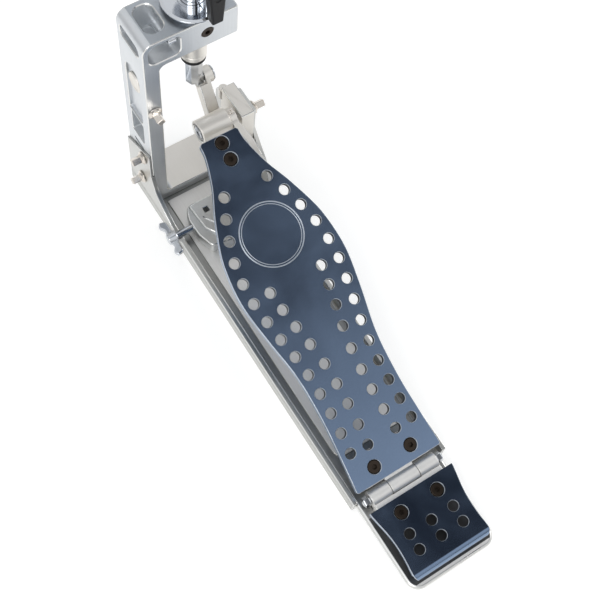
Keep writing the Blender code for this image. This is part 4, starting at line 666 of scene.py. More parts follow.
nickel = finish("nickel_screw", (0.70, 0.65, 0.59), 0.20, 300, bump=0.03, tone=0.05)
KEY_HEAD = 2.9
FLANGE_REST = 0.0115
flange = ((2.8, -9.5), (2.8, 0), (5.9, 0), (6.2, 0.3), (6.2, 1.1), (5.8, 1.5), (4.9, 2.1), (4.3, 3.2))
head = plate(rectangle(-KEY_HEAD, KEY_HEAD, -KEY_HEAD, KEY_HEAD, 0.5, 4), 2.6, 11.5, edge=0.7)
key_screw = pattern_piece("key_screw", [turned(flange), head])


def key_spot(node, along, turn):
    """Where a screw's flange rests, in metres: on the inner face of its node's head, facing outwards."""
    low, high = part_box(node)
    middle = (low + high) / 2
    for axis, way in enumerate(along):
        if way > 0:
            middle[axis] = high[axis] - FLANGE_REST
        elif way < 0:
            middle[axis] = low[axis] + FLANGE_REST
    return tuple(middle), along, turn


KEYED = (("ear_screw_upper", (-1, 0, 0), 40), ("ear_screw_lower", (-1, 0, 0), 52),
         ("post_screw", (1, 0, 0), 45), ("upright_screw", (0, -1, 0), 28))
fastened("key_screws", key_screw, [key_spot(*keyed) for keyed in KEYED], nickel, "base",
         [keyed[0] for keyed in KEYED])


# The footboard: a flat aluminium plate, drilled, anodised deep blue and then chamfered, so that the chamfers
# show bright metal. Two rows of holes run inside each edge, and a plain double ring lies under the foot.
BOARD_PITCH = 20.12
BOARD_TOP = 8.0
BOARD_THICK = 5.5
BOARD_TOE = 329.8
BOARD_WIDEST = 52.3
BOARD_SHAPE = ((0.0318, 0.8222), (0.1364, 0.7744), (0.2426, 0.7419), (0.3669, 0.7706), (0.4851, 0.9044),
               (0.5731, 0.9885), (0.6186, 1.0), (0.6762, 0.9694), (0.7277, 0.9063), (0.8187, 0.6979),
               (0.8884, 0.501), (0.9642, 0.3614), (1.0, 0.3518))
BOARD_STATIONS = tuple((BOARD_TOE * run, BOARD_WIDEST * share) for run, share in BOARD_SHAPE)
BOARD_HEEL = BOARD_STATIONS[0][0]
BOARD_STEPS = 60
HOLE_RADIUS = 4.75
HOLE_CHAMFER = 0.4
HOLE_PITCH = 18.65
HOLE_INSET = 9.3
HOLE_START = 43.7
OUTER_HOLES = 14
INNER_HOLES = 9
INNER_STEP = 17.1
HEEL_SCREW_X = 18.6
HEEL_SCREW_Y = BOARD_HEEL + 12.6
TOE_SCREWS = (307.6, 322.9)
SCREW_SEAT = ((7.6, 1), (6.1, -0.5), (3.3, -3.3), (3.3, -9))
RING_Y = 236.0
board = pedal @ Matrix.Rotation(math.radians(BOARD_PITCH), 4, "X")


def half_width(distance):
    """Half the board's width, on a smooth curve through its stations."""
    last = len(BOARD_STATIONS) - 1

    def slope(index):
        low, high = BOARD_STATIONS[max(index - 1, 0)], BOARD_STATIONS[min(index + 1, last)]
        return (high[1] - low[1]) / (high[0] - low[0])

    index = 0
    while index < last - 1 and distance > BOARD_STATIONS[index + 1][0]:
        index += 1
    (s0, w0), (s1, w1) = BOARD_STATIONS[index], BOARD_STATIONS[index + 1]
    span = s1 - s0
    t = (distance - s0) / span
    return ((2 * t ** 3 - 3 * t ** 2 + 1) * w0 + (t ** 3 - 2 * t ** 2 + t) * span * slope(index)
            + (3 * t ** 2 - 2 * t ** 3) * w1 + (t ** 3 - t ** 2) * span * slope(index + 1))


def inside_edge(distance, inset):
    """A point that lies the inset inside the board's edge, measured square to it."""
    slope = (half_width(distance + 2) - half_width(distance - 2)) / 4
    scale = inset / math.hypot(1.0, slope)
    return half_width(distance) - scale, distance + slope * scale


def hole_spots():
    """Both rows of holes on both sides, at even steps along a line inside the edge."""
    spots = []
    distance = HOLE_START
    for index in range(OUTER_HOLES):
        spots.append(inside_edge(distance, HOLE_INSET))
        if index < INNER_HOLES:
            spots.append(inside_edge(distance, HOLE_INSET + INNER_STEP))
        gone, last = 0.0, inside_edge(distance, HOLE_INSET)
        while gone < HOLE_PITCH:
            distance += 0.1
            point = inside_edge(distance, HOLE_INSET)
            gone += math.dist(point, last)
            last = point
    return [(way * x, y, BOARD_TOP - BOARD_THICK / 2) for x, y in spots for way in (-1, 1)]


def marked(tree, geometry, name):
    return add(tree, "GeometryNodeStoreNamedAttribute", {"Geometry": geometry, "Name": name, "Value": True},
               data_type="BOOLEAN", domain="FACE")


def perforating_tree():
    """A tree that drills a plate at every point of the pattern and chamfers both rims of each hole."""
    tree, given, result = grower("perforate", (
        ("Plate", "Object"), ("Tilt", "Vector"), ("Radius", "Float"), ("Chamfer", "Float"),
        ("Thickness", "Float"), ("Face finish", "Material"), ("Rim finish", "Material"),
        ("Bore finish", "Material")))
    half = reckon(tree, "MULTIPLY", given["Thickness"], 0.5)
    wide = reckon(tree, "ADD", given["Radius"], given["Chamfer"])
    wider = reckon(tree, "ADD", wide, given["Chamfer"])
    deep = reckon(tree, "MULTIPLY", given["Thickness"], 2.0)
    drill = add(tree, "GeometryNodeMeshCylinder", {"Vertices": 48, "Radius": given["Radius"], "Depth": deep})
    cone_depth = reckon(tree, "MULTIPLY", given["Chamfer"], 2.0)
    cone = add(tree, "GeometryNodeMeshCone", {"Vertices": 48, "Radius Top": wider,
                                              "Radius Bottom": given["Radius"], "Depth": cone_depth})
    up = add(tree, "ShaderNodeCombineXYZ", {"Z": reckon(tree, "SUBTRACT", half, given["Chamfer"])})
    raised = add(tree, "GeometryNodeTransform", {"Geometry": cone, "Translation": up})
    above = marked(tree, raised, "rim")
    below = add(tree, "GeometryNodeTransform", {"Geometry": above, "Rotation": (math.pi, 0, 0)})
    rims = add(tree, "GeometryNodeJoinGeometry")
    for source in (above, below):
        tree.links.new(source.outputs[0], rims.inputs[0])
    points = add(tree, "GeometryNodeMeshToPoints", {"Mesh": given["Geometry"]})
    turn = add(tree, "FunctionNodeEulerToRotation", {"Euler": given["Tilt"]})
    whole = add(tree, "GeometryNodeObjectInfo", {"Object": given["Plate"]}).outputs["Geometry"]
    for tool in (marked(tree, drill, "bore"), rims):
        tools = add(tree, "GeometryNodeInstanceOnPoints",
                    {"Points": points, "Instance": tool, "Rotation": turn})
        less = add(tree, "GeometryNodeMeshBoolean", {"Mesh 1": whole}, operation="DIFFERENCE", solver="EXACT")
        real = add(tree, "GeometryNodeRealizeInstances", {"Geometry": tools})
        tree.links.new(real.outputs[0], less.inputs["Mesh 2"])
        whole = less.outputs["Mesh"]
    whole = add(tree, "GeometryNodeRealizeInstances", {"Geometry": whole})
    whole = painted(tree, whole, given["Face finish"])
    # The hole walls take the bore material, near black, as painted shade.
    for name in ("rim", "bore"):
        on = add(tree, "GeometryNodeInputNamedAttribute", {"Name": name}, data_type="BOOLEAN")
        whole = painted(tree, whole, given[f"{name.capitalize()} finish"], Selection=on.outputs["Attribute"])
    tree.links.new(whole.outputs[0], result)
    return tree


perforate = perforating_tree()
anodised = finish("blue_anodised", (0.200, 0.272, 0.395), 0.22, 1500, (1, 0.15, 1), bump=0.10, tone=0.10)
bare_chamfer = finish("bare_chamfer", (0.50, 0.54, 0.59), 0.34, 900, bump=0.05)
# Near-black hole walls: painted shade inside the holes.
dark_bore = finish("dark_bore", (0.035, 0.040, 0.050), 0.38, 900, bump=0.05)
BLUE = (anodised, bare_chamfer)


def perforated(name, solid, seats, points, place, tilt, thick, body, node):
    """A blue plate with its screw seats sunk, drilled at every point, riding on its body."""
    bench_step(solid, "DIFFERENCE", seats, place, BLUE)
    settle(solid)
    rim = solid.data.attributes.new("rim", "BOOLEAN", "FACE")
    for face in solid.data.polygons:
        rim.data[face.index].value = face.material_index == EDGE
    piece = loose_points(name, [place @ Vector(point) for point in points])
    grow(piece, perforate, {"Plate": solid, "Radius": HOLE_RADIUS * MM, "Chamfer": HOLE_CHAMFER * MM,
                            "Thickness": thick * MM, "Tilt": (math.radians(tilt), 0.0, 0.0),
                            "Face finish": anodised, "Rim finish": bare_chamfer, "Bore finish": dark_bore})
    settle(piece)
    bpy.data.objects.remove(solid)
    return dressed(piece, body, node, 30)


def screw_seats(spots, top):
    """What a countersink takes away for each screw, down from a face."""
    profile = [(radius, top + rise) for radius, rise in SCREW_SEAT]
    return [turned(profile, "z", (x, y, 0), edges=(0,)) for x, y in spots]


stations = [BOARD_HEEL + (BOARD_TOE - BOARD_HEEL) * step / BOARD_STEPS for step in range(BOARD_STEPS + 1)]
corners = [(half_width(s), s, 0) for s in stations]
corners[0] = (*corners[0][:2], 2.0)
corners[-1] = (*corners[-1][:2], 3.0)
corners += [(-w, s, radius) for w, s, radius in reversed(corners)]
solid = bench_mesh("board_blank", [plate(rounded(corners, 6), BOARD_TOP - BOARD_THICK, BOARD_TOP, edge=0.45)],
                   board, BLUE)
board_screws = [(-HEEL_SCREW_X, HEEL_SCREW_Y), (HEEL_SCREW_X, HEEL_SCREW_Y), *((0, y) for y in TOE_SCREWS)]
perforated("footboard_plate", solid, screw_seats(board_screws, BOARD_TOP), hole_spots(), board, BOARD_PITCH,
           BOARD_THICK, "footboard", "footboard")

for name, radius, width, rise in (("outer_ring", 28.0, 0.55, 0.28), ("inner_ring", 26.0, 0.35, 0.16)):
    bead = [(radius + width * math.cos(angle), BOARD_TOP + rise * math.sin(angle))
            for angle in [math.pi * step / 6 for step in range(7)]]
    bead += [(radius - width, BOARD_TOP - 0.3), (radius + width, BOARD_TOP - 0.3)]
    machined(f"board_{name}", [turned(bead, "z", (0, RING_Y, 0), 128, looped=True)], board,
             ((bare_chamfer, bare_chamfer), "blue_anodised"), "footboard", ())


# The heel plate: the same blue anodised plate, waisted at its sides, its back edge rolled down over the base.
# It slopes towards the hinge and carries two countersunk screws and six holes.
HEEL_SLOPE = 5.2
HEEL_TOP = 8.6
HEEL_THICK = 4.0
HEEL_FRONT = -11.5
HEEL_BACK = -78.0
HEEL_DROP = 12.0
HEEL_ROLL = 7.0
SCREW_Y = -23.8
WAIST = ((HEEL_FRONT, 42.5), (-14, 42.3), (-18, 41.6), (-25, 40.3), (-31, 39.1), (-38, 38.2), (-44, 37.8),
         (-50, 37.7), (-56, 37.9), (-62, 38.3), (-68, 39.0))
ROLL_HALF, LIP_HALF = 39.3, 35.7
slope = pedal @ Matrix.Translation((0, 0, HEEL_TOP)) @ Matrix.Rotation(math.radians(HEEL_SLOPE), 4, "X")


def heel_rings():
    """The bent sheet's cross-sections: along the flat, round the roll, and down a lip that narrows."""
    stations = [(y, 0.0, 0.0, half) for y, half in WAIST]
    for step in range(1, 13):
        bend = math.pi / 2 * step / 12
        y = HEEL_BACK + HEEL_ROLL - HEEL_ROLL * math.sin(bend)
        narrow = 3.6 * (1 - math.cos(bend))
        stations.append((y, -HEEL_ROLL * (1 - math.cos(bend)), bend, ROLL_HALF - narrow))
    for drop in (9.0, 10.2, 11.0, 11.5, 11.85, HEEL_DROP):
        short = 3.0 - math.sqrt(max(9.0 - max(drop - 9.0, 0) ** 2, 0.0))
        stations.append((HEEL_BACK, -drop, math.pi / 2, LIP_HALF - short))
    rings = []
    for y, z, bend, half in stations:
        outline = rectangle(-half, half, -HEEL_THICK, 0, 0.6, 3)
        rings.append([(x, y + depth * -math.sin(bend), z + depth * math.cos(bend)) for x, depth in outline])
    return rings


rings = heel_rings()
corner_steps = [step for corner in range(4) for step in range(corner * 4, corner * 4 + 3)]
solid = bench_mesh("heel_blank", [loft(rings, edges=(len(rings) - 2,), edge_steps=corner_steps)], slope, BLUE)
heel_screws = [(x, SCREW_Y) for x in (-HEEL_SCREW_X, HEEL_SCREW_X)]
heel_holes = [(x, y, -HEEL_THICK / 2) for x in (-22.5, 0, 22.5) for y in (-42.2, -57.2)]
perforated("heel_plate_rolled", solid, screw_seats(heel_screws, 0), heel_holes, slope, HEEL_SLOPE, HEEL_THICK,
           "base", "heel_plate")


# Countersunk screws: black oxide steel with a hexagon socket, their heads a hair below the surface.
# Geometry Nodes set them in the board, the heel plate and the frame's arm.
def polygon(radius, sides, start=0.0):
    turns = [math.radians(start) + 2 * math.pi * index / sides for index in range(sides)]
    return [(radius * math.cos(angle), radius * math.sin(angle)) for angle in turns]


def prism(sections, along="z", at=ORIGIN, sides=6, edges=()):
    """A piece with flat sides, from (radius, height) sections."""
    rings = [[(u, v, height) for u, v in polygon(radius, sides)] for radius, height in sections]
    return loft(rings, along, at, edges=edges)


black_oxide = finish("black_oxide", (0.045, 0.034, 0.026), 0.36, 1500, bump=0.12, tone=0.2, metallic=0.85)
HEAD = 5.5
SOCKET = 2.4
SUNK = 0.15
head = turned(((HEAD - 0.5, 0), (HEAD, -0.4), (HEAD, -0.6), (3.0, -3.1), (3.0, -8.8)))
socket = prism(((SOCKET * 1.12, 0.3), (SOCKET, -0.3), (SOCKET, -2.4)))
countersunk = pattern_piece("countersunk", [head], [socket])
board_up, slope_up = [(place.to_3x3() @ Vector((0, 0, 1))).normalized() for place in (board, slope)]
spots = [(board @ Vector((x, y, BOARD_TOP - SUNK)), board_up, turn)
         for (x, y), turn in zip(board_screws, (10, 40, 25, 5))]
fastened("board_screws", countersunk, spots, black_oxide, "footboard",
         ["footboard_screw_left", "footboard_screw_right", "toe_screw_back", "toe_screw_front"],
         30)
spots = [(slope @ Vector((x, y, -SUNK)), slope_up, turn) for (x, y), turn in zip(heel_screws, (15, 35))]
spots.append((pedal @ Vector((ARM_SCREW[0], frame_low.y + SUNK, ARM_SCREW[2])), (0, -1, 0), 20))
fastened("base_screws", countersunk, spots, black_oxide, "base",
         ["heel_plate_screw_left", "heel_plate_screw_right", "arm_screw"], 30)


# The heel hinge: two machined steel leaves with turned knuckles, and one polished pin right through them.
# The heel plate's screws hold the heel leaf too, and the pin's heads are hexagons with a turned tip.
def lathe(corners, along="z", at=ORIGIN, steps=STEPS, looped=False):
    """A turned piece from (radius, height, fillet) corners."""
    return turned(rounded(corners, 4), along, at, steps, looped)


def rod(radius, low, high, fillets, along="z", at=ORIGIN, steps=STEPS):
    """A round bar whose two ends are rounded by the fillets."""
    near, far = fillets
    return lathe(((0.1, low, 0), (radius, low, near), (radius, high, far), (0.1, high, 0)), along, at, steps)


satin_nickel = finish("satin_nickel", (0.80, 0.79, 0.77), 0.52, 700, (1, 0.05, 1), bump=0.06, tone=0.03)
LEAF = ((satin_nickel, bright_edge), "satin_steel")
HINGE_RADIUS = 7.5
PIN_ROOM = 3.3
PIN_RADIUS = 3.0
KNUCKLE = 14.6
leaf_low, leaf_high = node_box("heel_leaf", pedal)
pin_low, pin_high = node_box("hinge_pin", pedal)
block = plate(((leaf_low.y, leaf_low.z), (-7, leaf_low.z), (-7, 3.65), (leaf_low.y, 1.0)), leaf_low.x,
              leaf_high.x, "x", edge=0.6)
webs, barrels = [], []
for low, high in ((leaf_low.x, -KNUCKLE), (KNUCKLE, leaf_high.x)):
    webs.append(plate(((-8, -8.7), (-2, -6.2), (-2, 2), (-8, 2.6)), low + 0.4, high - 0.4, "x", edge=0.3))
    barrels.append(rod(HINGE_RADIUS, low, high, (0.6, 0.6), "x"))
screw_room = [straight(3.9, -12, 8, "z", (x, -23.7, 0)) for x in (-HEEL_SCREW_X, HEEL_SCREW_X)]
machined("heel_leaf_machined", [block, *webs, *barrels], pedal, LEAF, "base", "heel_leaf",
         [straight(HINGE_RADIUS + 0.6, -KNUCKLE, KNUCKLE, "x", steps=STEPS),
          drilled(PIN_ROOM, leaf_low.x, leaf_high.x, "x", edge=0.4), screw_room])

half = KNUCKLE - 0.45
tail = plate(rectangle(-34, 34, 8.9, 37.1, 2.0), -1.8, 2.2, edge=0.5)
tongue = plate(rectangle(-half, half, 3, 10.4, 0), -1.75, 2.15, edge=0.4)
screw_room = [straight(3.3, -4, 4, "z", (x, HEEL_SCREW_Y, 0)) for x in (-HEEL_SCREW_X, HEEL_SCREW_X)]
middle_barrel = rod(HINGE_RADIUS, -half, half, (0.6, 0.6), "x")
machined("footboard_leaf_machined", [tail, tongue, middle_barrel], board, LEAF, "footboard", "footboard_leaf",
         [drilled(PIN_ROOM, -half, half, "x", edge=0.4), screw_room])

pin = [straight(PIN_RADIUS, leaf_low.x - 1, leaf_high.x + 1, "x", steps=STEPS)]
for side, end in ((-1, pin_low.x), (1, pin_high.x)):
    near, far = sorted((end - side * 0.6, end - side * 6.3))
    pin.append(plate(polygon(4.9, 6, 15), near, far, "x", edge=1.0, steps=2))
    pin.append(turned(((PIN_RADIUS, end - side * 2.2), (2.8, end - side * 0.2), (2.4, end)), "x", steps=32))
machined("hinge_pin_polished", pin, pedal, CHROMED, "base", "hinge_pin")


# The toe bracket: a machined aluminium block under the board's toe, with one arm reaching round to the shaft.
# A set screw in the arm's eye grips the hardened shaft, whose head shows in the middle of the link's barrel.
TOE_ALONG, TOE_UP = 342.9, -17.52
ARM_LEFT, ARM_RIGHT = 21.9, 28.4
LIMIT = 330.4
toe_line = (0, TOE_ALONG, TOE_UP)
foot_plate = plate(((-15, LIMIT - 44), (ARM_RIGHT, LIMIT - 44), (ARM_RIGHT, LIMIT - 30), (15, LIMIT - 30),
                    (15, LIMIT), (-15, LIMIT)), -3.8, 2.2, edge=0.5)
arm = plate(((LIMIT - 44, -3.7), (LIMIT - 20, -5.8), (TOE_ALONG - 4, TOE_UP - 8), (TOE_ALONG + 2, TOE_UP + 7),
             (TOE_ALONG - 9, TOE_UP + 8), (LIMIT - 16, 1.7), (LIMIT - 44, 2.1)),
            ARM_LEFT, ARM_RIGHT - 0.05, "x", edge=0.6)
eye = rod(9.0, ARM_LEFT + 0.05, ARM_RIGHT - 0.1, (0.6, 0.6), "x", toe_line)
machined("toe_bracket_machined", [foot_plate, arm, eye], board, MILLED, "footboard", "toe_bracket",
         [drilled(4.3, ARM_LEFT, ARM_RIGHT, "x", toe_line, 0.4),
          [straight(3.3, -8, 4, "z", (0, y, 0)) for y in TOE_SCREWS]])

shaft = lathe(((0.1, -7.5, 0), (4.9, -7.5, 0.4), (5.4, -7.0, 0.2), (5.4, -5.8, 0.2), (4.0, -5.8, 0.2),
               (4.0, 28.1, 0.5), (0.1, 28.1, 0)), "x", toe_line, 48)
machined("toe_shaft_polished", [shaft], board, ((chrome, chrome), "satin_steel"), "footboard", "toe_shaft",
         [prism(((2.3 * 1.1, -8), (2.3, -7.1), (2.3, -5.9)), "x", toe_line)])


def moved(shape, matrix):
    """The same shape, carried by a matrix."""
    points, faces, marks = shape
    return [tuple(matrix @ Vector(point)) for point in points], faces, marks


up_the_eye = (Matrix.Translation((25.1, TOE_ALONG, TOE_UP))
              @ Matrix.Rotation(math.radians(-BOARD_PITCH), 4, "X"))
set_screw = moved(rod(2.4, 0, 2.2, (0.3, 0.4), steps=32), up_the_eye @ Matrix.Translation((0, 0, 7.6)))
machined("toe_set_screw", [set_screw], board, ((nickel, nickel), "satin_steel"), "footboard", (),
         [moved(prism(((1.15, 8.2), (1.15, 11))), up_the_eye)])


# The drive link: a square aluminium bar that turns on the toe shaft and pulls the coupler down.
# Its barrel holds a sealed ball bearing, and its top is relieved round the coupler's tongue.
link = pedal @ Matrix.Translation((0, 328, 101.5))
REACH, RISE = 36.0, 21.5
LEAN = math.radians(58.8)
BAR_FRONT, BAR_BACK = 7.7, -4.3
BARREL_LEFT, BARREL_RIGHT = -7, 21.4
KNUCKLE_LEFT, KNUCKLE_RIGHT = 18.3, 26.0
eye_line = (0, REACH, RISE)


def up_bar(run, offset):
    """A point from the eye's centre: the run goes up the bar, the offset towards its front face."""
    return (REACH + math.cos(LEAN) * run - math.sin(LEAN) * offset,
            RISE + math.sin(LEAN) * run + math.cos(LEAN) * offset)


def bar_outline(spots):
    return [up_bar(run, offset) for run, offset in spots]


shaft_run = -(REACH * math.cos(LEAN) + RISE * math.sin(LEAN))
shaft_offset = REACH * math.sin(LEAN) - RISE * math.cos(LEAN)
foot = shaft_run - 6
bar = plate(bar_outline(((foot, BAR_BACK), (foot, BAR_FRONT), (0, BAR_FRONT), (0, BAR_BACK))), 11, 22, "x",
            edge=0.7)
web = plate(bar_outline(((foot + 0.4, BAR_FRONT - 1), (foot + 0.4, shaft_offset), (foot + 12, shaft_offset),
                         (foot + 12, BAR_FRONT - 1))), 11.1, 21, "x", edge=0.3)
barrel = rod(11.3, BARREL_LEFT, BARREL_RIGHT, (0.8, 0.8), "x", steps=FINE)
knuckle = rod(7.7, KNUCKLE_LEFT, KNUCKLE_RIGHT, (0.6, 0.6), "x", eye_line, 64)
arc = [(7.6 * math.cos(math.radians(angle)), 7.6 * math.sin(math.radians(angle)))
       for angle in range(126, 216, 3)]
relief = plate(bar_outline(((-4.47, BAR_FRONT + 3), *arc, (-6.3, BAR_BACK - 3), (14, BAR_BACK - 3),
                            (14, BAR_FRONT + 3))), 5, 18.25, "x", edge=0.05, steps=1)
machined("drive_link_machined", [bar, web, barrel, knuckle], link, MILLED, "link", "drive_link",
         [relief, drilled(8.5, BARREL_LEFT, BARREL_RIGHT, "x"),
          drilled(4.5, KNUCKLE_LEFT, KNUCKLE_RIGHT, "x", eye_line)])

seal_black = finish("bearing_seal", (0.02, 0.02, 0.022), 0.5, 1200, bump=0.1, tone=0.2, metallic=0.0)
race = ((4.3, -5.2), (5.2, -5.4), (5.5, -5.1), (7.0, -5.1), (7.3, -5.4), (8.2, -5.2), (8.2, 20.8),
        (7.3, 21.0), (4.3, 20.8))
machined("link_bearing_sealed", [turned(race, "x", looped=True, edges=(2,))], link,
         ((chrome, seal_black), "chrome"), "link", "link_bearing")


# The coupler: a chromed octagonal sleeve screwed to the pull rod, with a flat tongue for the cross pin.
# Above it lie a rubber bumper, the rod, and the turned guide bush pressed into the frame's arm.
shaft_line = (column_x, column_y, 0)
COUPLER_PIN = (0, column_y, 123)


def pipe(inner, outer, low, high, fillets, at=ORIGIN, steps=FINE):
    """A tube, with a fillet for each corner: inner low, outer low, outer high, inner high."""
    corners = zip((inner, outer, outer, inner), (low, low, high, high), fillets)
    return lathe(tuple(corners), "z", at, steps, looped=True)


sleeve = prism(((7.1, 126), (7.8, 126.8), (7.8, 156.3), (7.1, 157)), "z", shaft_line, 8, (0, 2))
tongue = plate(rectangle(11.5, 17.5, column_y - 4.2, column_y + 4.2), 118.4, 130, edge=0.5)
machined("coupler_chromed", [sleeve, tongue], pedal, CHROMED, "rod", "rod_coupler",
         [drilled(3.45, 150, 157, "z", shaft_line, 0.3, 32)])
cross = lathe(((0.1, 12, 0), (2.5, 12, 0.3), (2.5, 26.6, 0.1), (6.8, 26.6, 0.3), (6.8, 27.4, 0.6),
               (5.9, 28.2, 0.3), (0.1, 28.2, 0)), "x", COUPLER_PIN, 48)
machined("coupler_pin_polished", [cross], pedal, CHROMED, "rod", "coupler_pin",
         [prism(((2.4, 27.2), (2.4 * 1.1, 29)), "x", COUPLER_PIN)])
bumper = pipe(3.45, 10.75, 157.3, 161.7, (0.2, 1.2, 1.2, 0.2), shaft_line, STEPS)
machined("bumper_ring", [bumper], pedal, RUBBER, "rod", "rubber_bumper")
bush = lathe(((3.55, 162, 0.2), (11.25, 162, 0.8), (11.25, 166.6, 0.2), (10.8, 167.0, 0.1),
              (11.25, 167.4, 0.2), (11.25, 226.7, 0.2), (9.8, 226.7, 0.1), (9.8, 190, 0.1), (3.55, 190, 0.1)),
             "z", shaft_line, looped=True)
machined("guide_bush_turned", [bush], pedal, MILLED, "base", "guide_bush")

polished_rod = finish("polished_rod", (0.70, 0.71, 0.72), 0.14, 500, (1, 1, 0.03), bump=0.03, tone=0.03)
low, high = node_box("pull_rod", column)
pull_rod = lathe(((0.1, low.z, 0), (3.15, low.z, 0.3), (3.15, 299, 0.2), (7.7, 299, 0.5), (7.7, 305, 0.5),
                  (3.15, 305, 0.2), (3.15, high.z, 0.8), (0.1, high.z, 0)), steps=32)
machined("pull_rod_polished", [pull_rod], column, ((polished_rod, polished_rod), "chrome"), "rod", "pull_rod")

spring_steel = finish("spring_steel", (0.34, 0.34, 0.35), 0.38, 900, bump=0.1, tone=0.1)
frame["nodes"]["return_spring"].material_slots[0].material = spring_steel


# The flange and the lower tube: both steel, polished and chromed.
# The tube stands in the bush, and the flange covers the joint on the arm's top.
TUBE, TUBE_ROOM = 9.5, 9.8
low, high = node_box("tube_flange", pedal)
step_z = low.z + 4.2
flange = lathe(((TUBE_ROOM, low.z, 0.1), (20.0, low.z, 0.3), (20.0, step_z, 0.2), (25.4, step_z, 0.4),
                (25.4, high.z - 1.2, 0.5), (23.4, high.z, 0.4), (12.6, high.z, 0.3),
                (12.0, high.z - 0.7, 0.2), (TUBE_ROOM, high.z - 0.7, 0.1)),
               "z", shaft_line, FINE, looped=True)
machined("tube_flange_chromed", [flange], pedal, CHROMED, "base", "tube_flange")
low, high = node_box("lower_tube", column)
machined("lower_tube_chromed", [pipe(8.3, TUBE, low.z, high.z, (0.2, 0.2, 0.4, 0.3))], column, CHROMED,
         "base", "lower_tube")


# The ridges round the tube's collar, the tilt screw's knob and the clutch's nuts, which give fingers a grip.
# Geometry Nodes stand a ring of half-sunk rods round a turned core and join them to it.
def ridging_tree():
    """A tree that joins a ring of upright rods to a core, all on the Z axis at the origin."""
    tree, given, result = grower("ridge", (
        ("Count", "Int"), ("Ring radius", "Float"), ("Rod radius", "Float"), ("Low", "Float"),
        ("High", "Float"), ("Finish", "Material")))
    length = reckon(tree, "SUBTRACT", given["High"], given["Low"])
    middle = reckon(tree, "MULTIPLY", reckon(tree, "ADD", given["High"], given["Low"]), 0.5)
    lift = add(tree, "ShaderNodeCombineXYZ", {"Z": middle})
    bar = add(tree, "GeometryNodeMeshCylinder",
              {"Vertices": 10, "Radius": given["Rod radius"], "Depth": length})
    ring = add(tree, "GeometryNodeMeshCircle", {"Vertices": given["Count"], "Radius": given["Ring radius"]})
    raised = add(tree, "GeometryNodeTransform", {"Geometry": ring, "Translation": lift})
    points = add(tree, "GeometryNodeMeshToPoints", {"Mesh": raised})
    bars = add(tree, "GeometryNodeInstanceOnPoints", {"Points": points, "Instance": bar})
    real = add(tree, "GeometryNodeRealizeInstances", {"Geometry": bars})
    whole = add(tree, "GeometryNodeMeshBoolean", {}, operation="UNION", solver="EXACT")
    for source in (given["Geometry"], real.outputs[0]):
        tree.links.new(source, whole.inputs["Mesh 2"])
    whole = add(tree, "GeometryNodeRealizeInstances", {"Geometry": whole})
    tree.links.new(painted(tree, whole, given["Finish"]).outputs[0], result)
    return tree


ridge_tree = ridging_tree()


def ridged(name, shapes, place, count, ring_radius, rod_radius, span, body, nodes, cuts=()):
    """A chromed core with ridges round it, built at the origin, cut, and carried to its place."""
    piece = bench_mesh(name, shapes[:1], column, (chrome,))
    for tool in shapes[1:]:
        bench_step(piece, "UNION", [tool], column, (chrome,))
    grow(piece, ridge_tree, {"Count": count, "Ring radius": ring_radius * MM, "Rod radius": rod_radius * MM,
                             "Low": span[0] * MM, "High": span[1] * MM, "Finish": chrome})
    for tool in cuts:
        bench_step(piece, "DIFFERENCE", [tool], column, (chrome,))
    settle(piece)
    piece.data.transform(place @ column.inverted())
    return dressed(piece, body, nodes)


# The tube's collar and its lever: a chromed clamp ring with a split lug, and a black moulded lever before it.
# The lever's threaded shank pulls the lug together.
LEVER_AXIS = Vector(joints["lever_turn"]["pos_m"]) / MM
SHANK_ROOM = 2.8
low = node_box("tube_collar", column)[0]
lug = plate(rectangle(0.6, 10.6, -20.5, -9, 1.2), low.z, 289.9, edge=0.7)
split = plate(rectangle(5.0, 6.2, -22, -9), 254, 292, edge=0.05, steps=1)
ridged("tube_collar_ridged", [rod(15.0, 271, 290, (1.0, 1.0), steps=FINE), lug], column, 28, 14.75, 0.75,
       (273, 288), "base", "tube_collar",
       [straight(TUBE_ROOM, low.z - 1, 292, steps=STEPS), split,
        straight(SHANK_ROOM, -22, -8, "y", (LEVER_AXIS.x, 0, LEVER_AXIS.z))])
black_plastic = finish("moulded_black", (0.010, 0.010, 0.011), 0.45, 1300, bump=0.15, tone=0.2, metallic=0.0,
                       Specular_IOR_Level=0.22)
MOULDED = ((black_plastic, black_plastic), "black_plastic")
tip = low.z - LEVER_AXIS.z
outline = rounded(((-4.8, tip, 1.0), (4.8, tip, 1.0), (7.5, 5, 3), (4, 9, 3), (-4, 9, 3), (-7.5, 5, 3)), 6)
blade = plate(outline, -4.4, 4.4, "y", edge=1.6, steps=5)
dimple = lathe(((0.1, -5.2, 0), (3.4, -5.2, 0), (2.6, -3.8, 0.5), (0.1, -3.8, 0)), "y", steps=40)
machined("lever_moulded", [blade, straight(2.5, 3, 18.5, "y", steps=32)],
         column @ Matrix.Translation(LEVER_AXIS), MOULDED, "lever", "clamp_lever", [dimple])


# The wing bolts: cast and chromed, two rounded wings on a tapered hub, and a plain shank.
# One holds the pedal's side clamp, the others the leg collar, the height clamp and the clutch.
OUT_LEFT = Matrix(((0, 0, -1, 0), (1, 0, 0, 0), (0, -1, 0, 0), (0, 0, 0, 1)))
OUT_FRONT = Matrix(((1, 0, 0, 0), (0, 0, -1, 0), (0, 1, 0, 0), (0, 0, 0, 1)))


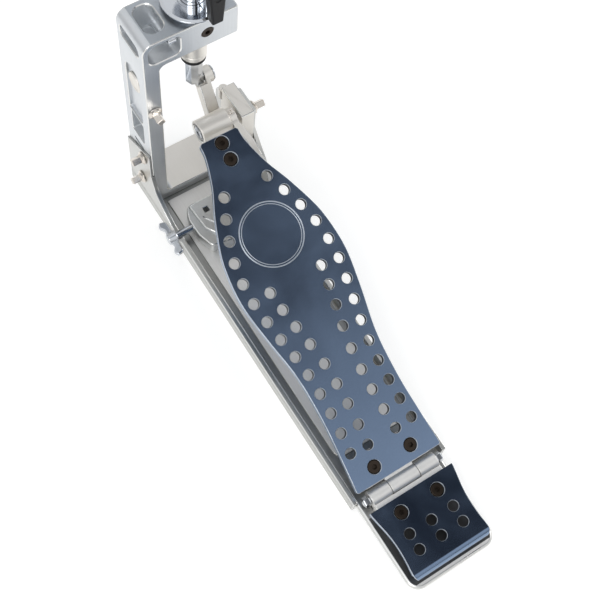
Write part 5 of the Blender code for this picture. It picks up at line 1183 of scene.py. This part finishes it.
def wing_bolt(name, node, body, place, hub, span, shank_radius, shank_length):
    """A wing bolt whose hub rises along its own Z from the origin, with its shank below."""
    shapes = [lathe(((0.1, 0, 0), (5.8, 0, 0.3), (6.2, 1.0, 0.5), (5.2, hub, 1.2), (0.1, hub, 0)), steps=48),
              rod(shank_radius, -shank_length, 0.5, (0.5, 0), steps=32)]
    wing = ((3.0, 1.2, 0), (9.0, 1.0, 3.0), (span - 2.0, 1.6, 2.4), (span, 8.0, 2.6),
            (span - 5.0, hub + 1.5, 3.0), (9.0, hub - 2.0, 3.0), (3.0, hub - 1.0, 0))
    for way in (-1, 1):
        outline = rounded([(u * way, v, radius) for u, v, radius in wing], 6)
        shapes.append(plate(outline, -2.5, 2.5, "y", edge=1.5, steps=5))
    return machined(name, shapes, place, CHROMED, body, node)


wing_bolt("side_wing_bolt", "wing_screw", "side_wing", pedal @ Matrix.Translation((-49.2, 298, 1)) @ OUT_LEFT,
          9.0, 19.0, 3.4, 24.2)
for name, node, joint, body, span, length in (
        ("collar_wing_bolt", "collar_wing", "slider_wing_turn", "slider_wing", 19.0, 11.2),
        ("height_wing_bolt", "height_wing", "clamp_wing_turn", "clamp_wing", 19.0, 12.8),
        ("clutch_wing_bolt", "clutch_wing", "clutch_screw_turn", "clutch_screw", 16.0, 7.55)):
    at = Vector(joints[joint]["pos_m"]) / MM
    at.y = node_box(node, column)[1].y - length
    wing_bolt(name, node, body, column @ Matrix.Translation(at) @ OUT_FRONT, 10.0, span, 2.5, length)


# The clamp block: a small alloy casting in the tray, its crown milled bright, with a square hole for the key.
# The wing bolt runs into its side and presses it against whatever the pedal is hooked to.
cast_alloy = finish("cast_alloy", (0.55, 0.56, 0.56), 0.34, 420, bump=0.35, tone=0.08)
low, high = node_box("clamp_block", pedal)
outline = rounded(((-27, 271, 5), (4, 265, 4), (4, 318, 4), (-28, 318, 9), (-32, 304, 6), (-32, 287, 4)), 6)
crown = plate(((-19, 316), (-26, 315), (-24, 288), (-18, 279), (2, 277), (2, 316)), 4, high.z, edge=1.0)
groove = plate(((-22, 262), (-20, 262), (-3, 276), (-5, 277)), 3, 8, edge=0.05, steps=1)
pocket = plate(((-22, 289), (-9, 283), (-20, 300)), 7.2, 12, edge=0.5)
machined("clamp_block_cast", [plate(outline, low.z, 5.5, edge=1.2), crown], pedal,
         ((cast_alloy, bright_edge), "cast_alloy"), "base", "clamp_block",
         [drilled(3.7, -33, -24, "x", (0, 298, 1), 0.4, 32),
          opening(rectangle(-16, -11, 302, 307), 0, high.z, edge=0.5), pocket, groove])


# The leg collars: machined aluminium rings on the lower tube, with lugs milled for the legs and the braces.
# The upper one slides and is held by its wing bolt. The lower one is fixed, and each lug has a riveted pin.
leg_alloy = finish("leg_aluminium", (0.62, 0.62, 0.61), 0.34, 900, (1, 1, 0.02), bump=0.18, tone=0.07)
ALLOY = ((leg_alloy, bright_edge), "satin_aluminium")
COLLAR = 15
GROOVE = 14.6
RIVET, RIVET_ROOM = 2.5, 2.8
BEARINGS = (120.0, 60.0)
PIN_REACH = 26.0
PIN_HALF = 7.0
LEG_PIN = joints["leg_fold"]["pos_m"][2] / MM
BRACE_PIN = joints["left_brace_fold"]["pos_m"][2] / MM


def collar(name, node, body, low, pin_height, lugs, more=(), cuts=()):
    """A collar with two fine grooves, and a lug or a pair of lugs with its pin at each leg's bearing."""
    high = low + 20
    ring = lathe(((0.1, low, 0), (COLLAR, low, 1.0), (COLLAR, low + 3.2, 0.2), (GROOVE, low + 3.6, 0.1),
                  (GROOVE, low + 4.0, 0.1), (COLLAR, low + 4.4, 0.2), (COLLAR, high - 4.4, 0.2),
                  (GROOVE, high - 4.0, 0.1), (GROOVE, high - 3.6, 0.1), (COLLAR, high - 3.2, 0.2),
                  (COLLAR, high, 1.0), (0.1, high, 0)), steps=FINE)
    lug_outline = rounded(((11.5, low + 1.1, 0), (PIN_REACH + 7, pin_height - 7, 6.8),
                           (PIN_REACH + 7, pin_height + 7, 6.8), (11.5, high - 1.1, 0)), 10)
    shapes = [ring, *more]
    for bearing in BEARINGS:
        about = Matrix.Rotation(math.radians(bearing), 4, "Z")
        for inner, outer in lugs:
            shapes.append(moved(plate(lug_outline, inner, outer, "y", edge=0.5), about))
        pin = rod(RIVET, -PIN_HALF, PIN_HALF, (0.6, 0.6), "y", (PIN_REACH, 0, pin_height), 32)
        shapes.append(moved(pin, about))
    return machined(name, shapes, column, ALLOY, body, node,
                    [drilled(TUBE_ROOM, low, high, edge=0.4, steps=64), *cuts])


collar("leg_collar_machined", "leg_collar", "leg_slider", LEG_PIN - 10, LEG_PIN, ((-3, 3),),
       [rod(6.0, -21, -11.5, (0.8, 0), "y", (0, 0, LEG_PIN), 48)],
       [straight(SHANK_ROOM, -22, -7.5, "y", (0, 0, LEG_PIN))])
collar("brace_collar_machined", "brace_collar", "leg_base", BRACE_PIN - 6, BRACE_PIN,
       ((-5.8, -3.3), (3.3, 5.8)))


# The legs and their braces: pressed aluminium channels and flat straps with rolled edges, on riveted pins.
# Each leg ends in a grooved rubber foot, whose plug is pushed into the channel.
LEG_LENGTH = 536.9
SPREAD = 40
BRACE_LENGTH = 80
LEG_WIDTH, BRACE_WIDTH = 20.0, 16.0
LEG_HALF, LEG_INSIDE, BRACE_HALF, FOOT_HALF = 5.8, 3.3, 3.0, 10
FOOT_TOP = -LEG_LENGTH - 10.6


def strap(width, start, end):
    """A bar with round ends, along its second axis."""
    ends = [(width / 2 * math.cos(math.pi * k / 16), end + width / 2 * math.sin(math.pi * k / 16))
            for k in range(17)]
    return ends + [(-u, start - (v - end)) for u, v in ends]


def floor_at(offset):
    """Where the floor cuts the leg, that far from its middle line."""
    angle = math.radians(SPREAD)
    return -(LEG_PIN + offset * math.sin(angle)) / math.cos(angle)


def hung(bearing, pin_height, lean):
    """The frame of a leg or brace that hangs on its pin: its length runs along Z."""
    return (column @ Matrix.Rotation(math.radians(bearing), 4, "Z")
            @ Matrix.Translation((PIN_REACH, 0, pin_height)) @ Matrix.Rotation(math.radians(lean), 4, "Y"))


room = plate(((-40, -LEG_LENGTH - 20), (7.5, -LEG_LENGTH - 20), (7.5, -106), (40, -94), (40, 20), (-40, 20)),
             -LEG_INSIDE, LEG_INSIDE, "y", edge=0.4)
dents = [plate(rectangle(-4.5, 2.5, z, z + 60, 3.0), side * LEG_HALF - 0.35, side * LEG_HALF + 0.35, "y",
               edge=0.1, steps=1) for side in (-1, 1) for z in (-190, -290, -390)]
foot = [plate(((-11, floor_at(-11)), (11, floor_at(11)), (11, FOOT_TOP), (-11, FOOT_TOP)), -FOOT_HALF,
              FOOT_HALF, "y", edge=1.5, steps=4),
        plate(((-8, FOOT_TOP - 2), (7.2, FOOT_TOP - 2), (7.2, 15 - LEG_LENGTH), (-8, 15 - LEG_LENGTH)),
              -3.0, 3.0, "y", edge=0.5)]
grips = [plate(rectangle(-12, 12, FOOT_TOP - 4 - 4.5 * index, FOOT_TOP - 2.6 - 4.5 * index),
               side * FOOT_HALF - 0.7, side * FOOT_HALF + 0.7, "y", edge=0.2, steps=1)
         for side in (-1, 1) for index in range(3)]
for name, bearing in zip(("left", "right"), BEARINGS):
    leg_place, brace_place = hung(bearing, LEG_PIN, -SPREAD), hung(bearing, BRACE_PIN, SPREAD)
    body = f"{name}_leg"
    channel = plate(strap(LEG_WIDTH, -LEG_LENGTH, 0), -LEG_HALF, LEG_HALF, "y", edge=0.8)
    machined(f"leg_{name}_channel", [channel], leg_place, ALLOY, body, f"leg_{name}",
             [room, straight(RIVET_ROOM, -8, 8, "y", steps=32), dents])
    machined(f"leg_{name}_rivet", [rod(RIVET, -6.8, 6.8, (0.6, 0.6), "y", (0, 0, -80), 32)], leg_place,
             ((chrome, chrome), "satin_aluminium"), body, ())
    flat = plate(strap(BRACE_WIDTH, 0, BRACE_LENGTH), -BRACE_HALF, BRACE_HALF, "y", edge=0.8)
    machined(f"brace_{name}_strap", [flat], brace_place, ALLOY, f"{name}_brace", f"brace_{name}",
             [drilled(RIVET_ROOM, -BRACE_HALF, BRACE_HALF, "y", edge=0.4, steps=32),
              drilled(5.7, -BRACE_HALF, BRACE_HALF, "y", (0, 0, BRACE_LENGTH), 0.4, 40)])
    machined(f"foot_{name}_rubber", foot, leg_place, RUBBER, body, f"foot_{name}", [grips])


# The height clamp and the upper tube: a machined sleeve on the lower tube's mouth, and a chromed tube in it.
# Its wing bolt sets the cymbals' height.
CLAMP_BOLT = (0, 0, 568)
clamp = lathe(((TUBE_ROOM, 542, 0.2), (COLLAR, 542, 1.6), (COLLAR, 549, 0.2), (14.5, 549.5, 0.1),
               (14.5, 550, 0.1), (COLLAR, 550.5, 0.2), (COLLAR, 576, 1.6), (8.2, 576, 0.3), (8.2, 560.3, 0.1),
               (TUBE_ROOM, 560.3, 0.1)), steps=FINE, looped=True)
boss = rod(6.0, -21, -12.5, (0.8, 0), "y", CLAMP_BOLT, 48)
machined("height_clamp_machined", [clamp, boss], column, ALLOY, "base", "height_clamp",
         [straight(SHANK_ROOM, -22, -7, "y", CLAMP_BOLT)])
low, high = node_box("upper_tube", column)
machined("upper_tube_chromed", [pipe(6.4, 7.9, low.z, high.z, (0.3, 0.4, 0.5, 0.3))], column, CHROMED,
         "upper", "upper_tube")


# The bottom cymbal's seat: a turned holder on the tube, a knurled tilt screw, a moulded cup and a thick felt.
# Wool felt is pressed from loose fibres, so its surface is a soft tangle.
HOLDER_TOP = 809
TILT_SCREW = (0, -22, HOLDER_TOP)
holder = lathe(((8.2, 786, 0.2), (12, 786, 0.8), (12, 802, 0.3), (14, 804, 0.3), (14, HOLDER_TOP, 0.6),
                (6.15, HOLDER_TOP, 0.3), (6.15, 800.3, 0.1), (8.2, 800.3, 0.1)), steps=FINE, looped=True)
ear = plate(rectangle(-5, 5, -27, -11, 2.0), 803.1, 808.95, edge=0.6)
machined("seat_holder_turned", [holder, ear], column, MILLED, "upper", "seat_holder",
         [drilled(2.3, -6, 0, "z", TILT_SCREW, 0.3, 32)])
knob = lathe(((0.1, -14, 0), (5.7, -14, 1.0), (6.1, -7.2, 0.6), (0.1, -7.2, 0)), steps=48)
ridged("tilt_screw_knurled", [knob, rod(2.0, -8, 0, (0, 0.4), steps=32)],
       column @ Matrix.Translation(TILT_SCREW), 30, 6.0, 0.4, (-12.4, -8.2), "seat_screw", "tilt_screw")
cup = lathe(((7.15, 809.3, 0.2), (22, 809.3, 0.8), (24, 810.8, 0.8), (24, 814.3, 0.7), (23, 814.3, 0.2),
             (22.6, 813.9, 0.1), (11.4, 813.9, 0.1), (11.0, 814.3, 0.1), (10.15, 814.3, 0.2),
             (10.15, 824.3, 0.8), (7.15, 824.3, 0.4)), steps=FINE, looped=True)
machined("seat_cup_moulded", [cup], column, MOULDED, "seat", "seat_cup")

wool_felt = finish("wool_felt", (0.12, 0.12, 0.12), 0.92, 2600, bump=0.9, tone=0.45, metallic=0.0,
                   Sheen_Weight=0.35)
for name, node, body, inner, outer, low, high in (
        ("seat_felt_pressed", "seat_felt", "seat", 10.45, 21.0, 814.6, 822.6),
        ("lower_clutch_felt", "clutch_lower_felt", "clutch", 6.8, 16.0, 887.3, 895.3),
        ("upper_clutch_felt", "clutch_upper_felt", "clutch", 6.8, 16.0, 898.3, 906.3)):
    felt = lathe(((inner, low, 0.5), (outer - 1.2, low, 1.2), (outer, (low + high) / 2, 3.0),
                  (outer - 1.2, high, 1.2), (inner, high, 0.5)), steps=FINE, looped=True)
    machined(name, [felt], column, ((wool_felt, wool_felt), "felt"), body, node)


# The clutch: a chromed sleeve on the pull rod that carries the top cymbal between two felts.
# A knurled nut closes it from below, and another presses the upper felt from above.
CLUTCH_BOLT = 932
sleeve = lathe(((3.45, 880, 0.2), (6.5, 880, 0.7), (6.5, 922, 0.2), (11, 923, 0.6), (11, 941, 1.0),
                (10, 942, 0.5), (3.45, 942, 0.3)), steps=FINE, looped=True)
grooves = [turned(((5.9, z), (7.5, z), (7.5, z + 0.5), (5.9, z + 0.5)), looped=True)
           for z in (908.6, 910.2, 911.8, 913.4, 915.0)]
machined("clutch_sleeve_chromed", [sleeve], column, CHROMED, "clutch", "clutch_body",
         [straight(SHANK_ROOM, -13, -2.5, "y", (0, 0, CLUTCH_BOLT)), grooves])
ridged("clutch_lower_nut_knurled", [rod(10.9, 881, 887, (0.8, 0.8), steps=72)], column, 36, 10.9, 0.55,
       (882.2, 885.8), "clutch", "clutch_lower_nut", [straight(6.8, 880, 888, steps=48)])
ridged("clutch_upper_nut_knurled", [rod(9.4, 906.6, 913, (0.8, 0.8), steps=72)], column, 32, 9.4, 0.5,
       (907.8, 911.8), "clutch", (), [straight(6.6, 905, 914, steps=48)])
